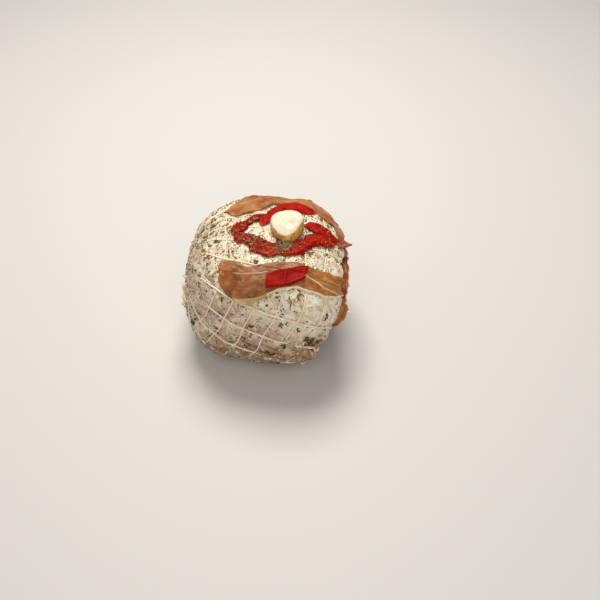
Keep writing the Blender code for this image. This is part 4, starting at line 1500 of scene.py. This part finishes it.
# The fourth column, brightness, is the share of painted highlight.
STRIPS = (  # name, width, height, brightness, wear, and the curve in plan; lengths in millimetres
    ("top", 9.6, 2.6, 0.75, 0.0,
     ((-4.6, 9.0), (-1.0, 17.5), (5.0, 26.0), (13.0, 31.6), (24.0, 33.6), (37.0, 30.0))),
    ("left", 8.8, 2.4, 0.3, 0.35,
     ((1.0, 23.5), (-10.5, 16.8), (-17.0, 9.4), (-22.6, 3.0), (-26.4, -3.6))),
    ("front_left", 13.6, 2.8, 0.3, 0.75,
     ((-25.6, -4.4), (-16.5, -8.8), (-8.3, -13.8), (0.5, -17.8), (14.4, -20.4))),
    ("front_right", 12.4, 2.9, 0.5, 0.35,
     ((9.6, -22.4), (20.8, -19.2), (28.2, -13.2), (35.0, -6.4), (42.5, -2.6), (53.0, -1.2))),
    ("right", 10.4, 2.6, 0.5, 0.2,
     ((29.0, 12.4), (37.1, 11.0), (43.5, 8.8), (48.6, 5.6), (54.0, 0.4))),
)


def ham_below(points):
    """Height that the back slice adds under a strip, fading in over its inner edge."""
    station, turn, _ = place_of(points)
    lying = ease(read_line(BACK_INNER, station) + 1.5 - turn, -1.5, 1.0)
    return lying * (ham_height(points, BACK_SEED) - cover_height(points) + SLICE_THICKNESS)


def make_strip(index, name, width, height, bright, worn, plan):
    """Tube round a curve: cos(angle) of the half width beside it, root of sin(angle) of the height over it."""
    seed = 100 + 10 * index
    width, height = width * 0.001, height * 0.001
    route = smooth_path(np.array(plan) * 0.001, STRIP_ROWS)
    heading = unit(np.gradient(route, axis=0))
    side = np.stack([-heading[:, 1], heading[:, 0]], axis=-1)
    length = np.concatenate([[0.0], np.cumsum(np.linalg.norm(np.diff(route, axis=0), axis=1))])
    share = (length / length[-1])[:, None]
    line = as_points(length, 0.0, 0.0)
    route = route + (0.0004 * lumps(line, 0.009, seed))[:, None] * side
    angle = np.linspace(0.0, 2 * math.pi, STRIP_SIDES, endpoint=False)[None, :]
    beside, up = np.cos(angle), np.sin(angle)
    blunt = (1.0 - np.abs(2 * share - 1.0) ** 5) ** 0.55
    where = as_points(length[:, None], 0.5 * width * beside, 0.0)
    uneven_edge = layered(where * [1.0, 0.3, 1.0], ((1.0, 0.0065, seed + 1), (0.6, 0.0025, seed + 2)))
    ragged = np.clip(1.0 + (0.05 + 0.10 * worn) * uneven_edge, 0.7, 1.35)
    narrow = 1.0 + 0.10 * lumps(line, 0.016, seed + 3)[:, None]
    across = 0.5 * width * blunt * narrow * ragged * beside
    base = drop(route[:, None] + across[..., None] * side[:, None])
    creases = ((0.06 + 0.07 * worn, 0.0050, seed + 4), (0.05, 0.0022, seed + 5))
    wrinkles = layered(where * [0.22, 1.0, 1.0], creases)
    dents = (0.03 + 0.06 * worn) * lumps(where, 0.0055, seed + 6)
    over = np.maximum(up, 0.0) ** 0.5
    rise = STRIP_EDGE + (1.0 - STRIP_EDGE) * over + STRIP_EDGE * np.minimum(up, 0.0)
    thick = height * (0.35 + 0.65 * blunt) * (rise + (wrinkles + dents) * over)
    lift = cover_height(base) + ham_below(base) - STRIP_BITE
    rows = base + (lift + thick)[..., None] * outward(base)
    shell = Shell()
    shell.add_turned(rows, rows[0].mean(0), rows[-1].mean(0), length=where[..., 0], width=where[..., 1],
                     bright=bright, worn=worn + 0.3 * np.abs(2 * share - 1.0) ** 4)
    make_piece("pepper_ring_" + name, shell, PEPPER, "roasted_pepper", "pepper_strip_" + name)
    return rows


pepper_ring = [make_strip(index, *strip) for index, strip in enumerate(STRIPS)]

# %% [markdown]
# ## The pepper piece on the ham
# A flat cut piece of the same pepper lies on the front slice. It is a thicker sheet with rounded edges, and
# it rests on the ham's own height.

# %% Pepper piece
PATCH_UPPER = ((-8.2, 138.8), (0.4, 134.6), (8.8, 131.4), (21.4, 127.6))
PATCH_LOWER = ((-7.4, 146.2), (1.8, 143.8), (9.6, 140.6), (17.6, 136.8))
PATCH_THICKNESS = 0.0019
PATCH_BORDER = 0.0014
PATCH_GRID = (120, 56)
PATCH_AIR = 0.0003


def make_patch():
    """Sheet between two lines at the height of the ham below, a little dished in its middle."""
    rows, columns = PATCH_GRID
    upper, lower = (smooth_path(edge, rows)[:, None] for edge in (PATCH_UPPER, PATCH_LOWER))
    place = upper + np.linspace(0.0, 1.0, columns)[None, :, None] * (lower - upper)
    base, normal = on_body(place[..., 0] * 0.001, place[..., 1])
    dished = 0.00030 * lumps(base, 0.014, 72) - 0.0004 * ease(border_distance(base)[0], 0.0005, 0.004)
    height = ham_height(base, FRONT_SEED) + LAYER_STEP + SLICE_THICKNESS * 0.8 + PATCH_AIR + dished
    top, bottom, paint = lay_sheet(base, normal, height, PATCH_THICKNESS, PATCH_BORDER)
    paint.update(bright=0.4, worn=0.0)
    return make_sheet("pepper_on_ham", top, bottom, paint, PEPPER, "roasted_pepper", "pepper_patch")


pepper_on_ham = make_patch()

# %% [markdown]
# ## The cheese knob
# In the middle of the ring sits a small knob of cheese: ivory on its cut top, which slopes to the front, with
# a golden rind round its side that shows most at the front right, where the top is cut back. Its section is
# boxy with soft corners, and dark specks stick to the rind.

# %% Cheese finish
def cheese_finish():
    cheese = Finish("cheese")
    rind = cheese.painted("rind")
    mottle = cheese.noise(0.0045, 4.0)
    ivory = cheese.between(mottle, 0.35, 0.7, (250, 238, 214), (238, 224, 190))
    gold = cheese.between(cheese.noise(0.0035, 3.0), 0.35, 0.65, (200, 136, 46), (230, 182, 88))
    color = cheese.mix(cheese.ease(rind + (mottle - 0.5) * 0.25, 0.32, 0.62), ivory, gold)
    color = cheese.over(color, rind, 0.72, 1.0, (164, 104, 36), 0.6)
    dark = cheese.specks(0.0030, 0.14, 0.24) * cheese.ease(rind, 0.50, 0.7)
    color = cheese.mix(dark * 0.85, color, tone(74, 46, 22))
    color = cheese.mix(cheese.specks(0.0055, 0.05, 0.13) * 0.35, color, tone(150, 144, 106))
    cheese.set(base_color=color, roughness=0.38 + 0.2 * mottle, subsurface_weight=0.35)
    cheese.set(subsurface_radius=(1.0, 0.8, 0.5), subsurface_scale=0.003)
    cheese.set(normal=cheese.bump(mottle * 0.5 + cheese.noise(0.0009, 3.0) * 0.5, 0.0004))
    return cheese.material


CHEESE = cheese_finish()
print("finish:", CHEESE.name)

# %% Cheese knob
KNOB_CENTRE = np.array([0.0162, 0.0010])
KNOB_RADIUS = 0.0134
KNOB_HEIGHT = 0.0125
KNOB_FOOT = 0.0016
KNOB_CORNERS = 0.075
KNOB_CORNER_TURN = math.radians(35.0)
KNOB_BOXINESS = 5.0
KNOB_TILT = 0.34
KNOB_LEVEL = 0.0100
CUT_TURN = math.radians(-52.0)
CUT_DEPTH = 0.24
CUT_SPREAD = 0.95
RIND_TURN = math.radians(-40.0)
KNOB_ROWS = 110
KNOB_COLUMNS = 200
KNOB_SECTION = (-0.25, 0.5)
KNOB_INSET = 0.985
KNOB_DOME = 0.0005
KNOB_LUMPS = ((0.00014, 0.009, 121), (0.00006, 0.003, 122))


def make_knob():
    """Rounded triangle in plan; in section |radius|^n + |height|^n = 1, with the top cut back on one side."""
    turn = np.linspace(0.0, 2 * math.pi, KNOB_COLUMNS, endpoint=False)[None, :]
    outline = KNOB_RADIUS * (1.0 + KNOB_CORNERS * np.cos(3 * (turn - KNOB_CORNER_TURN)))
    section = np.linspace(*KNOB_SECTION, KNOB_ROWS)[:, None] * math.pi
    scale = np.cos(section) ** (2 / KNOB_BOXINESS)
    level = np.sign(section) * np.abs(np.sin(section)) ** (2 / KNOB_BOXINESS)
    level = (level - level.min()) / (1.0 - level.min())
    away = (turn - CUT_TURN + math.pi) % (2 * math.pi) - math.pi
    radius = outline * scale * (1.0 - CUT_DEPTH * bell(away, CUT_SPREAD) * ease(level, 0.15, 1.0)) * KNOB_INSET
    foot = drop(KNOB_CENTRE)
    x, y = foot[0] + radius * np.cos(turn), foot[1] + radius * np.sin(turn)
    top = KNOB_LEVEL + KNOB_TILT * (y - foot[1]) - KNOB_DOME * (radius / KNOB_RADIUS) ** 2
    rows = as_points(x, y, foot[2] + KNOB_FOOT + level * top)
    centre = foot + 0.5 * KNOB_HEIGHT * UP
    rows = rows + layered(rows, KNOB_LUMPS)[..., None] * unit(rows - centre)
    golden = 0.54 + 0.18 * np.cos(turn - RIND_TURN)
    rind = golden * (1.0 - ease(level, 0.84, 0.96)) + 0.34 * (1.0 - ease(level, 0.20, 0.70))
    tips = [np.append(foot[:2], rows[end, :, 2].mean()) for end in (0, -1)]
    shell = Shell()
    shell.add_turned(rows, *tips, rind=np.clip(rind, 0.0, 1.0))
    return make_piece("cheese", shell, CHEESE, "cheese", "cheese_knob")


cheese = make_knob()

# %% [markdown]
# ## Dried herbs
# The roast is rolled in dried herbs: small flat bits in all shades from straw to dark olive, dense on the
# top right and thin along the front. Low down they are darker. Thousands of bits are made at once from
# arrays: a place is drawn on the skin's own grid by area and density, and each bit is a thin crooked tile
# that lies there at a chance angle. Larger bits lie in small groups at drawn places.

# %% Herb finish
def herb_finish():
    herb = Finish("dried_herb")
    shade = herb.painted("shade")
    color = herb.between(shade, 0.0, 0.55, (76, 56, 26), (146, 128, 68))
    color = herb.over(color, shade, 0.60, 1.0, (206, 182, 116))
    herb.set(base_color=color, roughness=0.75)
    return herb.material


HERB = herb_finish()
print("finish:", HERB.name)

# %% Herbs
TILE = np.array([
    [-1, -1, 0], [1, -1, 0], [1, 1, 0], [-1, 1, 0], [-1, -1, 1], [1, -1, 1], [1, 1, 1], [-1, 1, 1],
])
TILE_QUADS = np.array([[3, 2, 1, 0], [4, 5, 6, 7], [0, 1, 5, 4], [1, 2, 6, 5], [2, 3, 7, 6], [3, 0, 4, 7]])
TILE_TIPPING = 0.28
TILE_WIDTHS = (0.3, 0.75)
TILE_JITTER = (0.22, 0.22, 0.18)
FINE_LIFT, COARSE_LIFT = 0.00005, 0.0001
DUSTING, LEFT_HERBS, TOP_HERBS = 85000.0, 235000.0, 520000.0
FINE_SIZE, COARSE_SIZE, PEPPER_SIZE = 0.00072, 0.0016, 0.0011
COARSE_SHARE = 0.040
GROUP_BITS, GROUP_SPREAD = 6, 0.0004
HERB_PLACES = (  # station in millimetres, turn, size in millimetres
    (-51.0, 136, 2.6), (-45.4, 113, 2.6), (-47.7, 93, 2.4), (-54.6, 65, 2.2), (-48.6, 73, 2.4),
    (-34.1, 163, 2.0), (-31.0, 173, 1.8), (-22.7, 168, 1.6), (-7.9, 171, 2.0), (-7.5, 183, 1.6),
    (-2.0, 190, 2.4), (10.9, 190, 1.8), (-17.5, 132, 2.4), (2.2, 148, 2.4), (10.8, 148, 2.0),
    (16.8, 145, 2.4), (42.8, 152, 2.4), (9.0, 157, 1.6), (11.6, 162, 2.0), (25.1, 162, 1.6),
    (22.0, 177, 2.0), (39.4, 171, 2.8), (-40.8, 215, 3.0), (-40.0, 213, 2.6), (41.0, 168, 3.0),
    (44.0, 171, 2.8), (37.0, 169, 2.6), (47.0, 168, 2.4), (13.0, 186, 2.6), (18.0, 188, 2.2),
)
PEPPER_HERBS = (  # strip, middle and spread as shares of its length, count
    (2, 0.42, 0.045, 60), (2, 0.95, 0.05, 90), (3, 0.07, 0.06, 90), (3, 0.55, 0.30, 30), (2, 0.50, 0.30, 60),
    (1, 0.50, 0.35, 50), (0, 0.10, 0.10, 10), (4, 0.50, 0.35, 20),
)


def tiles(base, normal, size, random, lift):
    """Crooked tiles: corners of a box moved by chance, turned in the skin's plane and tipped a little."""
    count = len(base)
    helper = np.where(np.abs(normal[:, :1]) < 0.9, [[1.0, 0.0, 0.0]], [[0.0, 1.0, 0.0]])
    tip = unit(normal + TILE_TIPPING * random.normal(size=(count, 3)))
    first = unit(np.cross(helper, tip))
    second = np.cross(tip, first)
    spin = random.uniform(0.0, 2 * math.pi, (count, 1))
    along = np.cos(spin) * first + np.sin(spin) * second
    beside = np.cross(tip, along)
    wide = 0.5 * size * random.uniform(*TILE_WIDTHS, count)
    shape = np.stack([0.5 * size, wide, 0.22 * size + 0.00012], axis=-1)[:, None]
    corners = TILE[None] * shape + random.normal(size=(count, 8, 3)) * shape * TILE_JITTER
    tile_axes = np.stack([along, beside, tip], axis=1)
    return (base + lift * normal)[:, None] + np.einsum("nki,nij->nkj", corners, tile_axes)


def add_tiles(shell, points, shade):
    """Six faces for each tile's eight corners, and its shade at all of them."""
    quads = (TILE_QUADS[None] + 8 * np.arange(len(points))[:, None, None]).reshape(-1, 4)
    shell.add(points.reshape(-1, 3), quads, shade=np.repeat(shade, 8))


def herb_density(points):
    """Bits for each square metre: a thin dusting, more at the upper left and most on the top, in clumps."""
    x, _, z = points.T
    top, right = ease(z, 0.082, 0.098), ease(x, -0.012, 0.020)
    left = (0.12 + 0.88 * ease(z, 0.070, 0.090)) * (1.0 - ease(x, -0.030, 0.000))
    clumps = 0.35 + 1.1 * ease(lumps(points, 0.008, 131), -0.8, 1.4)
    density = DUSTING + LEFT_HERBS * left + TOP_HERBS * top * (0.25 + 0.75 * right)
    return density * clumps * ease(z, 0.002, 0.012)


def scatter_places(share, seed):
    """Places on the skin: cells drawn with a chance of area times density, and a chance point in each."""
    random = np.random.default_rng(seed)
    ring = np.concatenate([SKIN_GRID, SKIN_GRID[:, :1]], axis=1)
    a, b, c, d = ring[:-1, :-1], ring[:-1, 1:], ring[1:, 1:], ring[1:, :-1]
    area = np.linalg.norm(np.cross(c - a, d - b), axis=-1).ravel() / 2
    middle = ((a + b + c + d) / 4).reshape(-1, 3)
    count = random.poisson(area * herb_density(middle) * share)
    cell = np.repeat(np.arange(len(count)), count)
    u, v = random.uniform(size=(2, len(cell), 1))
    a, b, c, d = (corner.reshape(-1, 3)[cell] for corner in (a, b, c, d))
    place = (1 - u) * ((1 - v) * a + v * b) + u * ((1 - v) * d + v * c)
    return place, unit(np.cross(b - a, d - a)), random


def shading(points):
    """Factor on the shade: herbs low down are darker."""
    return 0.40 + 0.60 * ease(points[:, 2], 0.064, 0.094)


def make_fine_herbs():
    """A dusting of small tiles over the whole skin."""
    place, normal, random = scatter_places(1.0, 141)
    size = random.lognormal(math.log(FINE_SIZE), 0.35, len(place))
    shell = Shell()
    shade = random.beta(1.4, 1.6, len(place)) * shading(place)
    add_tiles(shell, tiles(place, normal, size, random, FINE_LIFT), shade)
    return make_piece("fine_herbs", shell, HERB, "dried_herb")


def make_coarse_herbs():
    """Scattered larger bits, groups of six at drawn places on the skin, and bits on the pepper strips."""
    place, normal, random = scatter_places(COARSE_SHARE, 151)
    size = random.lognormal(math.log(COARSE_SIZE), 0.25, len(place))
    shell = Shell()
    shade = random.beta(1.2, 2.0, len(place)) * shading(place)
    add_tiles(shell, tiles(place, normal, size, random, COARSE_LIFT), shade)
    for station, turn, bit_size in HERB_PLACES:
        strayed = random.normal(size=GROUP_BITS) * bit_size * GROUP_SPREAD
        nearby_turn = turn + np.degrees(random.normal(size=GROUP_BITS) * bit_size * GROUP_SPREAD / ROLL_RADIUS)
        base, normal = on_body(station * 0.001 + strayed, nearby_turn)
        base = base + skin_height(base)[:, None] * normal
        size = random.uniform(0.5, 1.0, GROUP_BITS) * bit_size * 0.001
        shade = random.beta(1.2, 2.4, GROUP_BITS) * shading(base)
        add_tiles(shell, tiles(base, normal, size, random, COARSE_LIFT), shade)
    for strip, middle, spread, count in PEPPER_HERBS:
        row = np.clip(random.normal(middle, spread, count), 0.01, 0.99) * STRIP_ROWS
        side = random.integers(STRIP_SIDES // 8, STRIP_SIDES * 3 // 8, count)
        base = pepper_ring[strip][row.astype(int), side]
        size = random.lognormal(math.log(PEPPER_SIZE), 0.3, count)
        tops = np.broadcast_to(UP, base.shape)
        add_tiles(shell, tiles(base, tops, size, random, COARSE_LIFT), random.beta(1.6, 1.8, count))
    return make_piece("coarse_herbs", shell, HERB, "dried_herb")


fine_herbs = make_fine_herbs()
coarse_herbs = make_coarse_herbs()
